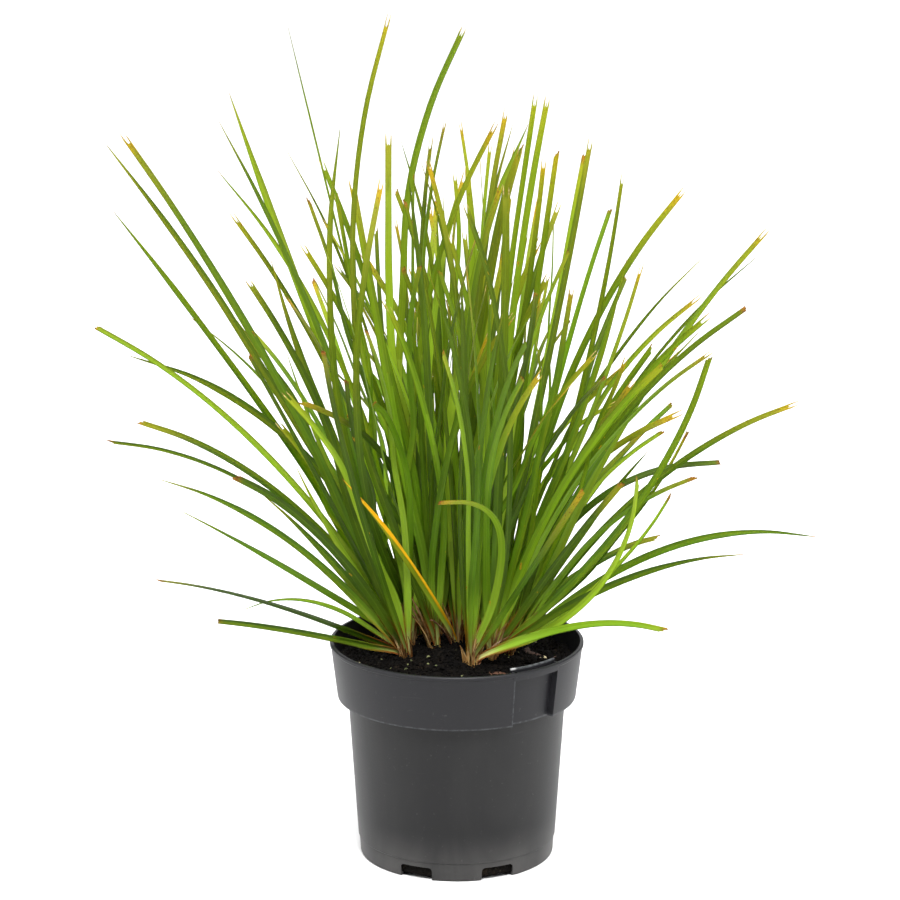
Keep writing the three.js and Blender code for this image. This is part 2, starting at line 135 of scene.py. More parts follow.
class Shader:
    """A material that is written as expressions."""

    def __init__(self, name: str) -> None:
        """Starts an empty material."""
        self.material = bpy.data.materials.new(name)
        self.material.use_nodes = True
        self.tree = self.material.node_tree
        self.tree.nodes.clear()

    def node(
        self,
        kind: str,
        settings: Optional[dict[str, object]] = None,
        values: Optional[dict[Union[int, str], Value]] = None,
        out: Union[int, str] = 0,
    ) -> Port:
        """Adds a node.

        Args:
            kind: the node's type, without the words ShaderNode in front.
            settings: its properties, such as a Math node's operation, which are set first.
            values: a number, a colour or a port for each socket, by name or place.
            out: the output that the port stands for.

        Returns:
            The chosen output.
        """
        made = self.tree.nodes.new("ShaderNode" + kind)
        for key, setting in (settings or {}).items():
            setattr(made, key, setting)
        for key, value in (values or {}).items():
            if isinstance(value, Port):
                self.tree.links.new(value.socket, made.inputs[key])
            else:
                made.inputs[key].default_value = value
        return Port(self, made.outputs[out] if len(made.outputs) else None)

    def maths(self, operation: str, *values: Value) -> Port:
        """Adds a Math node with up to three values."""
        return self.node("Math", {"operation": operation}, dict(enumerate(values)))

    def smooth(self, value: Value, low: float, high: float) -> Port:
        """Gives a mask that rises smoothly from 0 to 1 between two limits, or falls if they are swapped."""
        settings = {"interpolation_type": "SMOOTHSTEP", "clamp": True}
        if low > high:
            return 1.0 - self.node("MapRange", settings, {0: value, 1: high, 2: low, 3: 0.0, 4: 1.0})
        return self.node("MapRange", settings, {0: value, 1: low, 2: high, 3: 0.0, 4: 1.0})

    def mix(self, share: Value, first: Value, second: Value) -> Port:
        """Mixes two colours by a share."""
        settings = {"data_type": "RGBA", "blend_type": "MIX", "clamp_factor": True}
        return self.node("Mix", settings, {0: share, 6: first, 7: second}, out=2)

    def vector(self, x: Value, y: Value, z: Value) -> Port:
        """Joins three values to a vector."""
        return self.node("CombineXYZ", values={0: x, 1: y, 2: z})

    def parts(self, source: Port) -> tuple[Port, Port, Port]:
        """Splits a vector into its three values."""
        split = self.node("SeparateXYZ", values={0: source})
        outputs = split.socket.node.outputs
        return tuple(Port(self, outputs[i]) for i in range(3))

    def attribute(self, name: str) -> Port:
        """Reads a vector that the piece holds at each point."""
        return self.node("Attribute", {"attribute_name": name}, out="Vector")

    def place(self) -> Port:
        """Gives the point's place on the object, in metres."""
        return self.node("TexCoord", out="Object")

    def noise(
        self, at: Port, scale: float, detail: float = 3.0, rough: float = 0.5, warp: float = 0.0
    ) -> Port:
        """Gives a soft noise from 0 to 1."""
        values = {"Vector": at, "Scale": scale, "Detail": detail, "Roughness": rough, "Distortion": warp}
        return self.node("TexNoise", values=values)

    def cells(self, at: Port, scale: float) -> Port:
        """Gives the distance to the nearest of many scattered points."""
        return self.node("TexVoronoi", values={"Vector": at, "Scale": scale})

    def bump(
        self, height: Value, distance: float, strength: float = 1.0, under: Optional[Port] = None
    ) -> Port:
        """Turns a height into a surface direction.

        Args:
            height: the height from 0 to 1.
            distance: what a height of 1 stands for, in metres.
            strength: how much of it shows.
            under: the direction from another bump below it.

        Returns:
            The direction for a shader's normal.
        """
        values = {"Height": height, "Distance": distance, "Strength": strength}
        if under is not None:
            values["Normal"] = under
        return self.node("Bump", values=values)

    def close(self, **values: Value) -> bpy.types.Material:
        """Ends the material with a Principled shader, whose sockets are named with _ for a space.

        Returns:
            The material.
        """
        named = {key.replace("_", " "): value for key, value in values.items()}
        shader = self.node("BsdfPrincipled", values=named)
        self.node("OutputMaterial", values={"Surface": shader})
        return self.material


def turned(profile: Profile, steps: int) -> bmesh.types.BMesh:
    """Spins a profile once round the pot's axis into a closed body.

    Args:
        profile: radius and height points, which start and end on the axis.
        steps: how many sides the body gets.

    Returns:
        The body, with its faces pointing outwards.
    """
    bm = bmesh.new()
    verts = [bm.verts.new((radius, 0.0, height)) for radius, height in profile]
    edges = [bm.edges.new(pair) for pair in zip(verts, verts[1:])]
    axis = Vector((0, 0, 1))
    bmesh.ops.spin(
        bm, geom=verts + edges, cent=Vector(), axis=axis, angle=math.tau, steps=steps, use_merge=True
    )
    bmesh.ops.remove_doubles(bm, verts=bm.verts, dist=1e-4)
    bmesh.ops.recalc_face_normals(bm, faces=bm.faces)
    return bm


def swept(profile: Profile, span: tuple[float, float], steps: int) -> bmesh.types.BMesh:
    """Spins a closed outline part of the way round the pot's axis into a closed body.

    Args:
        profile: the outline's radius and height points.
        span: the two bearings in degrees, counted from the front towards the right.
        steps: how many lengths the sweep gets.

    Returns:
        The body, with its faces pointing outwards.
    """
    bm = bmesh.new()
    start = Matrix.Rotation(math.radians(span[0] - 90), 4, "Z")
    verts = [bm.verts.new(start @ Vector((radius, 0.0, height))) for radius, height in profile]
    face = bm.faces.new(verts)
    bmesh.ops.spin(
        bm,
        geom=[face] + list(face.edges) + verts,
        cent=Vector(),
        axis=Vector((0, 0, 1)),
        angle=math.radians(span[1] - span[0]),
        steps=steps,
    )
    bmesh.ops.recalc_face_normals(bm, faces=bm.faces)
    return bm


def block(radii: Pair, span: Pair, heights: Pair) -> bmesh.types.BMesh:
    """Gives the upright block between two radii, two bearings and two heights."""
    (inner, outer), (bottom, top) = radii, heights
    outline = [(inner, bottom), (outer, bottom), (outer, top), (inner, top)]
    return swept(outline, span, max(4, round(abs(span[1] - span[0]) / 2)))


class Join(Enum):
    """How two closed bodies are combined."""

    ADD = "UNION"
    CUT = "DIFFERENCE"
    KEEP = "INTERSECT"


def joined(base: bmesh.types.BMesh, tool: bmesh.types.BMesh, how: Join) -> bmesh.types.BMesh:
    """Combines two closed bodies with the Boolean modifier. Both are used up.

    Args:
        base: the body that is worked on.
        tool: the body that is added, cut away or kept in common.
        how: which of the three.

    Returns:
        The new body.
    """
    holders = []
    for body in (base, tool):
        mesh = bpy.data.meshes.new("blank")
        body.to_mesh(mesh)
        body.free()
        holder = bpy.data.objects.new("blank", mesh)
        bpy.context.scene.collection.objects.link(holder)
        holders.append(holder)
    modifier = holders[0].modifiers.new("join", "BOOLEAN")
    modifier.operation = how.value
    modifier.solver = "MANIFOLD"
    modifier.object = holders[1]
    graph = bpy.context.evaluated_depsgraph_get()
    shaped = bpy.data.meshes.new_from_object(holders[0].evaluated_get(graph))
    result = bmesh.new()
    result.from_mesh(shaped)
    bpy.data.meshes.remove(shaped)
    for holder in holders:
        mesh = holder.data
        bpy.data.objects.remove(holder)
        bpy.data.meshes.remove(mesh)
    put_in_order(result)
    return result


def put_in_order(bm: bmesh.types.BMesh) -> None:
    """Sorts a body by place, because joining two bodies gives them in another order each run."""

    def sort(parts: Any, place: Callable) -> None:
        """Sorts one kind of part by its place."""
        rank = {part: number for number, part in enumerate(sorted(parts, key=place))}
        parts.sort(key=rank.get)
        parts.index_update()

    sort(bm.verts, lambda vert: tuple(vert.co))
    sort(bm.edges, lambda edge: sorted(vert.index for vert in edge.verts))
    sort(bm.faces, lambda face: sorted(vert.index for vert in face.verts))


def absorbed(bm: bmesh.types.BMesh, body: bmesh.types.BMesh) -> None:
    """Adds a body, which is used up, to a mesh."""
    mesh = bpy.data.meshes.new("part")
    body.to_mesh(mesh)
    body.free()
    bm.from_mesh(mesh)
    bpy.data.meshes.remove(mesh)


def crease(bm: bmesh.types.BMesh, degrees: float) -> None:
    """Shades a body smooth, apart from the edges that turn by more than an angle."""
    for face in bm.faces:
        face.smooth = True
    for edge in bm.edges:
        edge.smooth = edge.calc_face_angle(math.pi) < math.radians(degrees)


def placed(
    name: str,
    bm: bmesh.types.BMesh,
    material: bpy.types.Material,
    node: Optional[str] = None,
) -> bpy.types.Object:
    """Turns a body in millimetres into a piece in metres that rides on the part.

    Args:
        name: the piece's name.
        bm: the body, which is used up.
        material: its finish.
        node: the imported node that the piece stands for, if any.

    Returns:
        The piece.
    """
    bmesh.ops.scale(bm, vec=Vector((MM, MM, MM)), verts=bm.verts)
    mesh = bpy.data.meshes.new(name)
    bm.to_mesh(mesh)
    bm.free()
    mesh.materials.append(material)
    piece = bpy.data.objects.new(name, mesh)
    bpy.context.scene.collection.objects.link(piece)
    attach(piece, "root")
    if node:
        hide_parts(node)
    LOG.info("%s: %d faces", name, len(mesh.polygons))
    return piece


@dataclass(frozen=True)
class PotPlastic:
    """Dark grey moulded polypropylene: satin, faintly clouded, dusty, pale with wear at the flap, with a
    painted highlight on the collar's lower lip and the front slot's left corner.
    """

    body: tuple = tone(17, 17, 18)
    cloud: tuple = tone(26, 26, 26)
    collar: tuple = tone(18, 18, 22)
    dust: tuple = tone(106, 104, 102)
    # Paler grey: wear at the flap, and the painted highlight on the collar's lower lip and slot corner.
    wear_and_highlight: tuple = tone(96, 98, 102)
    bare: tuple = tone(176, 176, 176)
    roughness: float = 0.43

    def material(self, collar_foot: float, top: float, slot: tuple[float, float]) -> bpy.types.Material:
        """Builds the material.

        Args:
            collar_foot: the height in millimetres where the collar begins.
            top: the height of the rim.
            slot: the radius of the collar and the bearing where the front label slot begins.

        Returns:
            The material.
        """
        shader = Shader("pot_plastic")
        place = shader.place()
        x, y, z = shader.parts(place)
        flow = shader.noise(shader.vector(x, y, z * 0.35), 26.0, 4.0, 0.55, 0.6)
        grain = shader.noise(place, 900.0, 2.0)
        specks = shader.smooth(shader.noise(place, 420.0, 2.0, 0.6), 0.66, 0.78)
        colour = shader.mix(shader.smooth(flow, 0.35, 0.75), self.body, self.cloud)
        upper = shader.smooth(z, collar_foot * MM - 0.001, collar_foot * MM + 0.002)
        colour = shader.mix(upper * 0.8, colour, self.collar)
        scuff_line = shader.noise(shader.vector(x * 0.35, y * 0.35, z * 5.0), 60.0, 5.0, 0.7, 0.4)
        scuffs = shader.smooth(scuff_line, 0.64, 0.8) * 0.16
        colour = shader.mix(scuffs, colour, self.dust)
        low = shader.smooth(z, 0.03, 0.001) * shader.smooth(flow, 0.1, 0.6) * 0.34
        colour = shader.mix(low + specks * 0.12, colour, self.dust)
        torn = shader.smooth(shader.noise(place, 340.0, 3.0, 0.6), 0.35, 0.62)
        flap = shader.smooth(z, (top + 0.3) * MM, (top + 1.2) * MM)
        colour = shader.mix(flap * (torn * 0.4 + 0.2), colour, self.wear_and_highlight)
        round_it = (shader.maths("ARCTAN2", x, y * -1.0) - math.radians(slot[1])) * (slot[0] * MM)
        along = shader.maths("ABSOLUTE", round_it)
        colour = shader.mix(flap * shader.smooth(along, 0.0032, 0.0012) * torn, colour, self.bare)
        # Painted highlight, with a little wear: a pale line along the collar's lower lip and up the front
        # slot's left corner.
        low_lip = shader.smooth(shader.maths("ABSOLUTE", z - (collar_foot + 0.5) * MM), 0.0009, 0.0002)
        corner = shader.smooth(shader.maths("ABSOLUTE", round_it + 0.0002), 0.0007, 0.0002) * upper
        corner = corner * shader.smooth(z, (top - 4.0) * MM, (top - 5.0) * MM)
        edge_highlight_and_wear = shader.maths("MAXIMUM", low_lip, corner) * (0.05 + torn * 0.2)
        colour = shader.mix(edge_highlight_and_wear, colour, self.wear_and_highlight)
        rough = self.roughness + flow * 0.1 + scuffs * 0.6 + flap * 0.2
        lines = shader.maths("SINE", z * 2600.0 + flow * 5.0)
        normal = shader.bump(grain, 0.00004, 0.35)
        normal = shader.bump(lines * 0.5 + 0.5, 0.00002, 0.25, normal)
        normal = shader.bump(flow, 0.0006, 0.3, normal)
        return shader.close(
            Base_Color=colour, Roughness=rough, Normal=normal, IOR=1.49, Specular_IOR_Level=0.26
        )


@dataclass(frozen=True)
class BarkMix:
    """Moist potting mix: near black fine bark with brown crumbs and a few pale grains."""

    wet: tuple = tone(6, 5, 5)
    dark: tuple = tone(13, 11, 9)
    brown: tuple = tone(36, 28, 20)
    pale: tuple = tone(84, 82, 62)

    def material(self) -> bpy.types.Material:
        """Builds the material."""
        shader = Shader("bark_mix")
        place = shader.place()
        lump = shader.noise(place, 110.0, 5.0, 0.65, 0.5)
        crumb = shader.cells(place, 520.0)
        fine = shader.noise(place, 1500.0, 3.0, 0.6)
        colour = shader.mix(shader.smooth(lump, 0.35, 0.6), self.wet, self.dark)
        colour = shader.mix(shader.smooth(lump + fine * 0.25, 0.68, 0.84) * 0.8, colour, self.brown)
        dots = shader.smooth(shader.cells(place, 260.0), 0.13, 0.06) * shader.smooth(fine, 0.45, 0.6)
        colour = shader.mix(dots * 0.5, colour, self.pale)
        rough = 0.72 + fine * 0.25
        normal = shader.bump(crumb, 0.0009, 0.8)
        normal = shader.bump(fine, 0.0003, 0.7, normal)
        return shader.close(Base_Color=colour, Roughness=rough, Normal=normal, Specular_IOR_Level=0.06)


@dataclass(frozen=True)
class Grit:
    """A loose bit on the mix, such as a bark chip or a mineral grain. Each bit has its own shade."""

    name: str
    dark: tuple
    light: tuple
    fleck: tuple
    scale: float = 700.0
    roughness: float = 0.8
    height: float = 0.0003
    shine: float = 0.4

    def material(self) -> bpy.types.Material:
        """Builds the material."""
        shader = Shader(self.name)
        place = shader.place()
        shade, _, _ = shader.parts(shader.attribute("bit"))
        layers = shader.noise(place, self.scale, 4.0, 0.65, 0.8)
        fine = shader.noise(place, self.scale * 3, 3.0, 0.6)
        colour = shader.mix(shader.smooth(layers * 0.6 + shade * 0.6, 0.25, 0.95), self.dark, self.light)
        colour = shader.mix(shader.smooth(fine, 0.6, 0.74) * 0.5, colour, self.fleck)
        rough = self.roughness + (fine - 0.5) * 0.2
        normal = shader.bump(layers, self.height * 2, 0.7)
        normal = shader.bump(fine, self.height, 0.6, normal)
        return shader.close(Base_Color=colour, Roughness=rough, Normal=normal, Specular_IOR_Level=self.shine)


@dataclass(frozen=True)
class LeafBlade:
    """A living leaf: pale at its base, green with fine long veins, yellow and then brown towards its end. Its
    under side and edges get painted shade, and its keel a faint painted highlight.
    """

    deep: tuple = tone(36, 54, 4)
    green: tuple = tone(70, 107, 8)
    fresh: tuple = tone(122, 150, 34)
    olive: tuple = tone(90, 100, 16)
    base: tuple = tone(146, 184, 54)
    cream: tuple = tone(206, 200, 130)
    margin: tuple = tone(126, 56, 18)
    yellow: tuple = tone(134, 130, 26)
    gold: tuple = tone(160, 122, 18)
    orange: tuple = tone(208, 154, 18)
    ochre: tuple = tone(150, 92, 28)
    straw: tuple = tone(180, 156, 100)
    brown: tuple = tone(84, 44, 22)
    veins: float = 9.0

    def material(self) -> bpy.types.Material:
        """Builds the material.

        Its attributes are blade (-1 to 1 across, then millimetres from the root and from the tip),
        growth (tint, yellowing and browning) and end (1 for a toothed end, 1 for the under side).
        """
        shader = Shader("leaf_blade")
        across, root, tip = shader.parts(shader.attribute("blade"))
        tint, yellowing, browning = shader.parts(shader.attribute("growth"))
        toothed, under_side, _ = shader.parts(shader.attribute("end"))
        side = shader.maths("ABSOLUTE", across)
        streak = shader.noise(shader.vector(across * 3.2, root * 0.012, tint * 61.0), 1.0, 4.0, 0.6)
        patch = shader.noise(shader.vector(across * 0.7, root * 0.035, tint * 23.0 + 4.0), 1.0, 3.0, 0.55)
        fleck = shader.noise(shader.vector(across * 2.6, root * 0.9, tint * 37.0), 1.0, 3.0, 0.6)
        vein = shader.maths("SINE", across * (self.veins * math.pi) + streak * 1.5) * 0.5 + 0.5

        colour = shader.mix(shader.smooth(tint + (patch - 0.5) * 0.5, 0.22, 0.7), self.deep, self.green)
        colour = shader.mix(shader.smooth(tint + (streak - 0.5) * 0.5, 0.5, 1.0) * 0.9, colour, self.fresh)
        colour = shader.mix(vein * 0.14, colour, self.fresh)
        high = shader.smooth(root + (patch - 0.5) * 90.0, 90.0, 290.0)
        colour = shader.mix(high * 0.5, colour, self.olive)
        # The under side is painted darker: painted shade.
        colour = shader.mix(under_side * 0.25, colour, self.deep)
        # Both edges are painted darker over the outer part of the width: painted shade between the blades.
        colour = shader.mix(shader.smooth(side, 0.84, 0.98) * 0.6, colour, self.deep)
        # A faint pale line along the middle, on the fold's ridge: painted highlight.
        colour = shader.mix(shader.smooth(side, 0.2, 0.02) * 0.06, colour, self.base)
        pale = shader.smooth(tint + (streak - 0.5) * 0.4, 0.1, 0.65) * 0.75 + 0.15
        colour = shader.mix(shader.smooth(root + (streak - 0.5) * 30.0, 56.0, 8.0) * pale, colour, self.base)
        colour = shader.mix(shader.smooth(root + (streak - 0.5) * 16.0, 20.0, 2.0) * pale, colour, self.cream)
        edge = shader.smooth(side + (streak - 0.5) * 0.9, 0.55, 0.8)
        edge = edge * shader.smooth(root + (patch - 0.5) * 36.0, 34.0, 8.0)
        colour = shader.mix(edge * 0.9, colour, self.margin)

        ripe = shader.smooth(yellowing, 1.2, 1.6)
        aged = shader.smooth(yellowing, 0.02, 0.3)
        reach = yellowing * 80.0 + 10.0
        turning = shader.smooth((tip + (patch - 0.5) * 30.0) / reach, 1.0, 0.1) * aged
        colour = shader.mix(turning * 0.55, colour, self.yellow)
        golden = shader.smooth(tip + (streak - 0.5) * 16.0 - yellowing * 9.0, 12.0, 0.0)
        golden = golden * shader.smooth(yellowing, 0.25, 0.85)
        colour = shader.mix(golden * 0.7, colour, self.gold)
        turned_half = shader.smooth(across + (streak - 0.5) * 0.5 + shader.smooth(tip, 80.0, 20.0), 0.25, 0.6)
        rusted = shader.mix(shader.smooth(patch, 0.6, 0.85), self.orange, self.ochre)
        colour = shader.mix(ripe * turned_half, colour, rusted)
        end = browning * 9.0
        dying = shader.smooth(tip + (streak - 0.5) * 7.0 - end, 3.0, -2.0)
        dying = dying * shader.smooth(browning, 0.02, 0.12)
        burnt = shader.mix(shader.smooth(fleck + (patch - 0.5) * 0.6, 0.34, 0.6), self.ochre, self.brown)
        colour = shader.mix(dying * 0.92, colour, burnt)
        colour = shader.mix(shader.smooth(tip, 1.3, 0.2) * dying, colour, self.brown)
        needle = shader.smooth(tip, 6.5, 3.0) * toothed
        parched = shader.mix(shader.smooth(fleck, 0.45, 0.7), self.straw, self.brown)
        colour = shader.mix(needle * 0.8, colour, parched)
        specks = shader.noise(shader.vector(across * 3.2, root * 0.55, tint * 91.0), 1.0, 1.0)
        spot = shader.smooth(specks, 0.61, 0.67) * shader.smooth(tip, 40.0, 16.0)
        spot = spot * shader.smooth(yellowing, 0.3, 0.7)
        colour = shader.mix(spot * 0.85, colour, self.brown)
        lesion = shader.noise(shader.vector(across * 0.8, root * 0.09, tint * 151.0), 1.0, 2.0, 0.6)
        colour = shader.mix(shader.smooth(lesion, 0.735, 0.765) * 0.8, colour, self.gold)
        colour = shader.mix(shader.smooth(lesion, 0.765, 0.785) * 0.9, colour, self.brown)

        dry = shader.maths("MAXIMUM", dying, needle)
        rough = 0.42 + dry * 0.3 + (fleck - 0.5) * 0.12
        height = vein * 0.5 + shader.smooth(side, 0.12, 0.0) * 0.3
        normal = shader.bump(height, 0.00012, 0.55)
        normal = shader.bump(fleck, 0.0001, 0.35, normal)
        return shader.close(
            Base_Color=colour,
            Roughness=rough,
            Normal=normal,
            Subsurface_Weight=0.1,
            Subsurface_Radius=(0.6, 1.0, 0.1),
            Subsurface_Scale=0.0012,
            Specular_IOR_Level=0.07,
        )


@dataclass(frozen=True)
class DrySheath:
    """A dead, papery sheath or leaf tip: reddish brown to straw, with long fibres."""

    name: str
    dark: tuple
    light: tuple
    straw: tuple

    def material(self) -> bpy.types.Material:
        """Builds the material, on the same attributes as a leaf."""
        shader = Shader(self.name)
        across, root, tip = shader.parts(shader.attribute("blade"))
        tint, _, _ = shader.parts(shader.attribute("growth"))
        fibre = shader.noise(shader.vector(across * 5.0, root * 0.05, tint * 61.0), 1.0, 4.0, 0.65)
        patch = shader.noise(shader.vector(across, root * 0.12, tint * 19.0), 1.0, 3.0)
        colour = shader.mix(shader.smooth(fibre * 0.6 + tint * 0.5, 0.25, 0.8), self.dark, self.light)
        colour = shader.mix(shader.smooth(patch + fibre * 0.4, 0.66, 0.92) * 0.8, colour, self.straw)
        colour = shader.mix(shader.smooth(tip, 6.0, 0.0) * 0.5, colour, self.dark)
        normal = shader.bump(fibre, 0.0004, 0.8)
        rough = 0.66 + fibre * 0.2
        return shader.close(Base_Color=colour, Roughness=rough, Normal=normal, Specular_IOR_Level=0.1)


@dataclass
class Pot:
    """The nursery pot: a deep collar over a tapered body, drain notches, and two label slots."""

    height: float = 124.3
    rim_radius: float = 71.1
    collar_foot: float = 92.3
    collar_foot_radius: float = 67.3
    body_top_radius: float = 61.3
    base_radius: float = 55.2
    foot_step: float = 10.4
    foot_inset: float = 0.5
    wall: float = 1.65
    floor: float = 2.0
    lip: float = 0.6
    steps: int = 180
    slots: tuple = ((27.0, 52.0), (128.0, 153.0))
    band: float = 4.6
    band_wall: float = 1.5
    recess: float = 3.8
    flap_wall: float = 1.5
    flap_rise: float = 1.5
    cheek: float = 1.2
    notches: tuple = (-24.6, 24.6, 155.4, 204.6)
    notch_size: Triple = (19.0, 14.0, 15.0)
    notch_corner: float = 2.0

    @property
    def shoulder(self) -> float:
        """The height of the collar's inside ledge."""
        return self.collar_foot + self.wall

    def collar_radius(self, z: float) -> float:
        """The collar's outer radius at a height."""
        share = (z - self.collar_foot) / (self.height - self.collar_foot)
        return blend(self.collar_foot_radius, self.rim_radius, share)

    def body_radius(self, z: float) -> float:
        """The body's outer radius at a height."""
        return blend(self.base_radius, self.body_top_radius, z / self.collar_foot)

    def flap_radius(self, z: float) -> float:
        """The outer radius of a label slot's flap at a height."""
        return self.collar_radius(z) - self.recess

    def outline(self, in_slot: bool) -> Profile:
        """The wall's profile, which in a label slot steps in behind the band and rises as the flap."""
        top = self.height + self.flap_rise
        low = self.shoulder
        collar = [
            (self.collar_foot_radius - self.lip, self.collar_foot),
            (self.collar_foot_radius - self.lip * 0.25, self.collar_foot + self.lip * 0.25),
            (self.collar_foot_radius, self.collar_foot + self.lip),
            (self.collar_radius(self.height - 2.6), self.height - 2.6),
            (self.rim_radius + 0.25, self.height - 2.0),
            (self.rim_radius + 0.3, self.height - self.lip),
            (self.rim_radius - self.lip * 0.3, self.height - self.lip * 0.1),
            (self.rim_radius - self.lip, self.height),
            (self.rim_radius - self.wall, self.height),
            (self.collar_radius(low) - self.wall, low),
        ]
        flap = [
            (self.flap_radius(self.collar_foot), self.collar_foot),
            (self.flap_radius(top), top),
            (self.flap_radius(top) - self.flap_wall, top),
            (self.flap_radius(low) - self.flap_wall, low),
        ]
        inset = self.foot_inset
        return [
            (0.0, 0.0),
            (self.base_radius - inset - 1.0, 0.0),
            (self.base_radius - inset - 0.3, 0.3),
            (self.base_radius - inset, 1.0),
            (self.body_radius(self.foot_step) - inset, self.foot_step),
            (self.body_radius(self.foot_step + 0.5), self.foot_step + 0.5),
            (self.body_top_radius, self.collar_foot),
            *(flap if in_slot else collar),
            (self.body_radius(low) - self.wall, low),
            (self.body_radius(self.floor) - self.wall, self.floor),
            (0.0, self.floor),
        ]

    def with_slot(self, shell: bmesh.types.BMesh, slot: tuple[float, float]) -> bmesh.types.BMesh:
        """Swaps the wall for the recessed one between two bearings, and leaves the rim's band in front.

        Args:
            shell: the pot so far, which is used up.
            slot: the two bearings.

        Returns:
            The pot with the slot.
        """
        near, far, tall = 40.0, self.rim_radius + 5, 160.0
        side = math.degrees(self.cheek / self.rim_radius)
        wide = (slot[0] - side, slot[1] + side)
        foot, top = self.collar_foot, self.height
        shell = joined(shell, block((near, far), slot, (foot - 0.5, tall)), Join.CUT)
        recessed = turned(self.outline(True), self.steps)
        wall = joined(recessed, block((near, far), wide, (foot - 20, tall)), Join.KEEP)
        shell = joined(shell, wall, Join.ADD)
        band = [
            (self.rim_radius - self.band_wall, top - self.band),
            (self.collar_radius(top - self.band), top - self.band),
            (self.rim_radius + 0.25, top - 2.0),
            (self.rim_radius + 0.3, top - self.lip),
            (self.rim_radius - self.lip, top),
            (self.rim_radius - self.band_wall, top),
        ]
        shell = joined(shell, swept(band, wide, 14), Join.ADD)
        cheek = [
            (self.flap_radius(foot) - 1, foot),
            (self.collar_radius(foot), foot),
            (self.collar_radius(top), top),
            (self.flap_radius(top) - 1, top),
        ]
        for span in ((wide[0], slot[0]), (slot[1], wide[1])):
            shell = joined(shell, swept(cheek, span, 1), Join.ADD)
        return shell

    def build(self) -> bpy.types.Object:
        """Builds the pot.

        Returns:
            The finished piece.
        """
        shell = turned(self.outline(False), self.steps)
        for slot in self.slots:
            shell = self.with_slot(shell, slot)
        for bearing in self.notches:
            notch = bmesh.new()
            bmesh.ops.create_cube(notch, size=1.0, matrix=Matrix.Diagonal((*self.notch_size, 1.0)))
            upright = [edge for edge in notch.edges if abs(edge.verts[0].co.x - edge.verts[1].co.x) < 1e-6]
            outer = [edge for edge in upright if abs(edge.verts[0].co.z - edge.verts[1].co.z) < 1e-6]
            bmesh.ops.bevel(
                notch,
                geom=outer,
                offset=self.notch_corner,
                segments=5,
                profile=0.5,
                affect="EDGES",
                material=-1,
            )
            turn = Matrix.Rotation(math.radians(bearing), 4, "Z")
            put = turn @ Matrix.Translation((0, -self.base_radius, 0))
            bmesh.ops.transform(notch, matrix=put, verts=notch.verts)
            shell = joined(shell, notch, Join.CUT)
        bmesh.ops.remove_doubles(shell, verts=shell.verts, dist=0.01)
        put_in_order(shell)
        bmesh.ops.dissolve_limit(shell, angle_limit=0.002, verts=shell.verts, edges=shell.edges)
        crease(shell, 28)
        front_slot = (self.collar_foot_radius, self.slots[0][0])
        finish = PotPlastic().material(self.collar_foot, self.height, front_slot)
        return placed("pot_shell", shell, finish, "pot")


@dataclass
class Mix:
    """The potting mix, heaped a little round the crown, and the bits that lie on it."""

    pot: Pot
    level: float = 112.0
    heaps: tuple = ((0.0, 10.0, 7.5, 30.0), (-7.0, -18.0, 6.5, 11.0))
    gap: float = 0.3
    lump: float = 0.9
    rings: int = 60
    sides: int = 240
    crumb: float = 1.3
    drawn_up: float = 1.8
    stem_radius: float = 4.2
    stem_foot: float = 98.0
    hole_gap: float = 0.35

    @property
    def stems(self) -> list[tuple[float, float]]:
        """Where the stem bases stand."""
        return [at for at, _, _ in SHOOTS]

    @property
    def top_radius(self) -> float:
        """How far the surface reaches."""
        return self.pot.collar_radius(self.level) - self.pot.wall - self.gap

    def surface(self, x: float, y: float) -> float:
        """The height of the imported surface."""
        heap = 0.0
        for middle_x, middle_y, rise, spread in self.heaps:
            heap += rise * math.exp(-((math.hypot(x - middle_x, y - middle_y) / spread) ** 2))
        waves = math.sin(x * 0.31 + 1.3) * math.cos(y * 0.27 - 0.6) + 0.6 * math.sin(x * 0.12 - y * 0.17)
        return self.level + heap + self.lump * waves

    def crumbled(self, x: float, y: float) -> float:
        """The height of the surface with its crumbs, which are drawn up a little round the stem bases."""
        coarse = noise.noise(Vector((x * 0.16, y * 0.16, 3.1)))
        fine = noise.noise(Vector((x * 0.55, y * 0.55, 8.7)))
        nearest = min(math.hypot(x - sx, y - sy) for sx, sy in self.stems)
        drawn_up = self.drawn_up * math.exp(-((nearest / 8.0) ** 2))
        return self.surface(x, y) + self.crumb * (0.7 * coarse + 0.6 * fine) + drawn_up

    def build(self) -> bpy.types.Object:
        """Builds the body of mix, with a hole for each stem base.

        Returns:
            The finished piece.
        """
        pot, gap = self.pot, self.gap
        low = pot.shoulder + gap
        profile = [
            (0.0, pot.floor + gap),
            (pot.body_radius(pot.floor) - pot.wall - gap, pot.floor + gap),
            (pot.body_radius(pot.shoulder) - pot.wall - gap, low),
            (pot.collar_radius(pot.shoulder) - pot.wall - gap, low),
        ]
        profile += [(self.top_radius * ring / self.rings, self.level) for ring in range(self.rings, -1, -1)]
        bm = turned(profile, self.sides)
        for vert in bm.verts:
            if vert.co.z > self.level - 0.5:
                vert.co.z = self.crumbled(vert.co.x, vert.co.y)
        for slot in pot.slots:
            inner = pot.flap_radius(pot.collar_foot) - pot.flap_wall - gap
            span = (slot[0] - 2, slot[1] + 2)
            bm = joined(bm, block((inner, 90.0), span, (pot.collar_foot - 1, 140.0)), Join.CUT)
        holes = bmesh.new()
        radius, foot = self.stem_radius + self.hole_gap, self.stem_foot - self.hole_gap
        for x, y in self.stems:
            bmesh.ops.create_cone(
                holes,
                cap_ends=True,
                segments=20,
                radius1=radius,
                radius2=radius,
                depth=160 - foot,
                matrix=Matrix.Translation((x, y, (160 + foot) / 2)),
            )
        bm = joined(bm, holes, Join.CUT)
        crease(bm, 60)
        return placed("mix_body", bm, BarkMix().material(), "potting_mix")


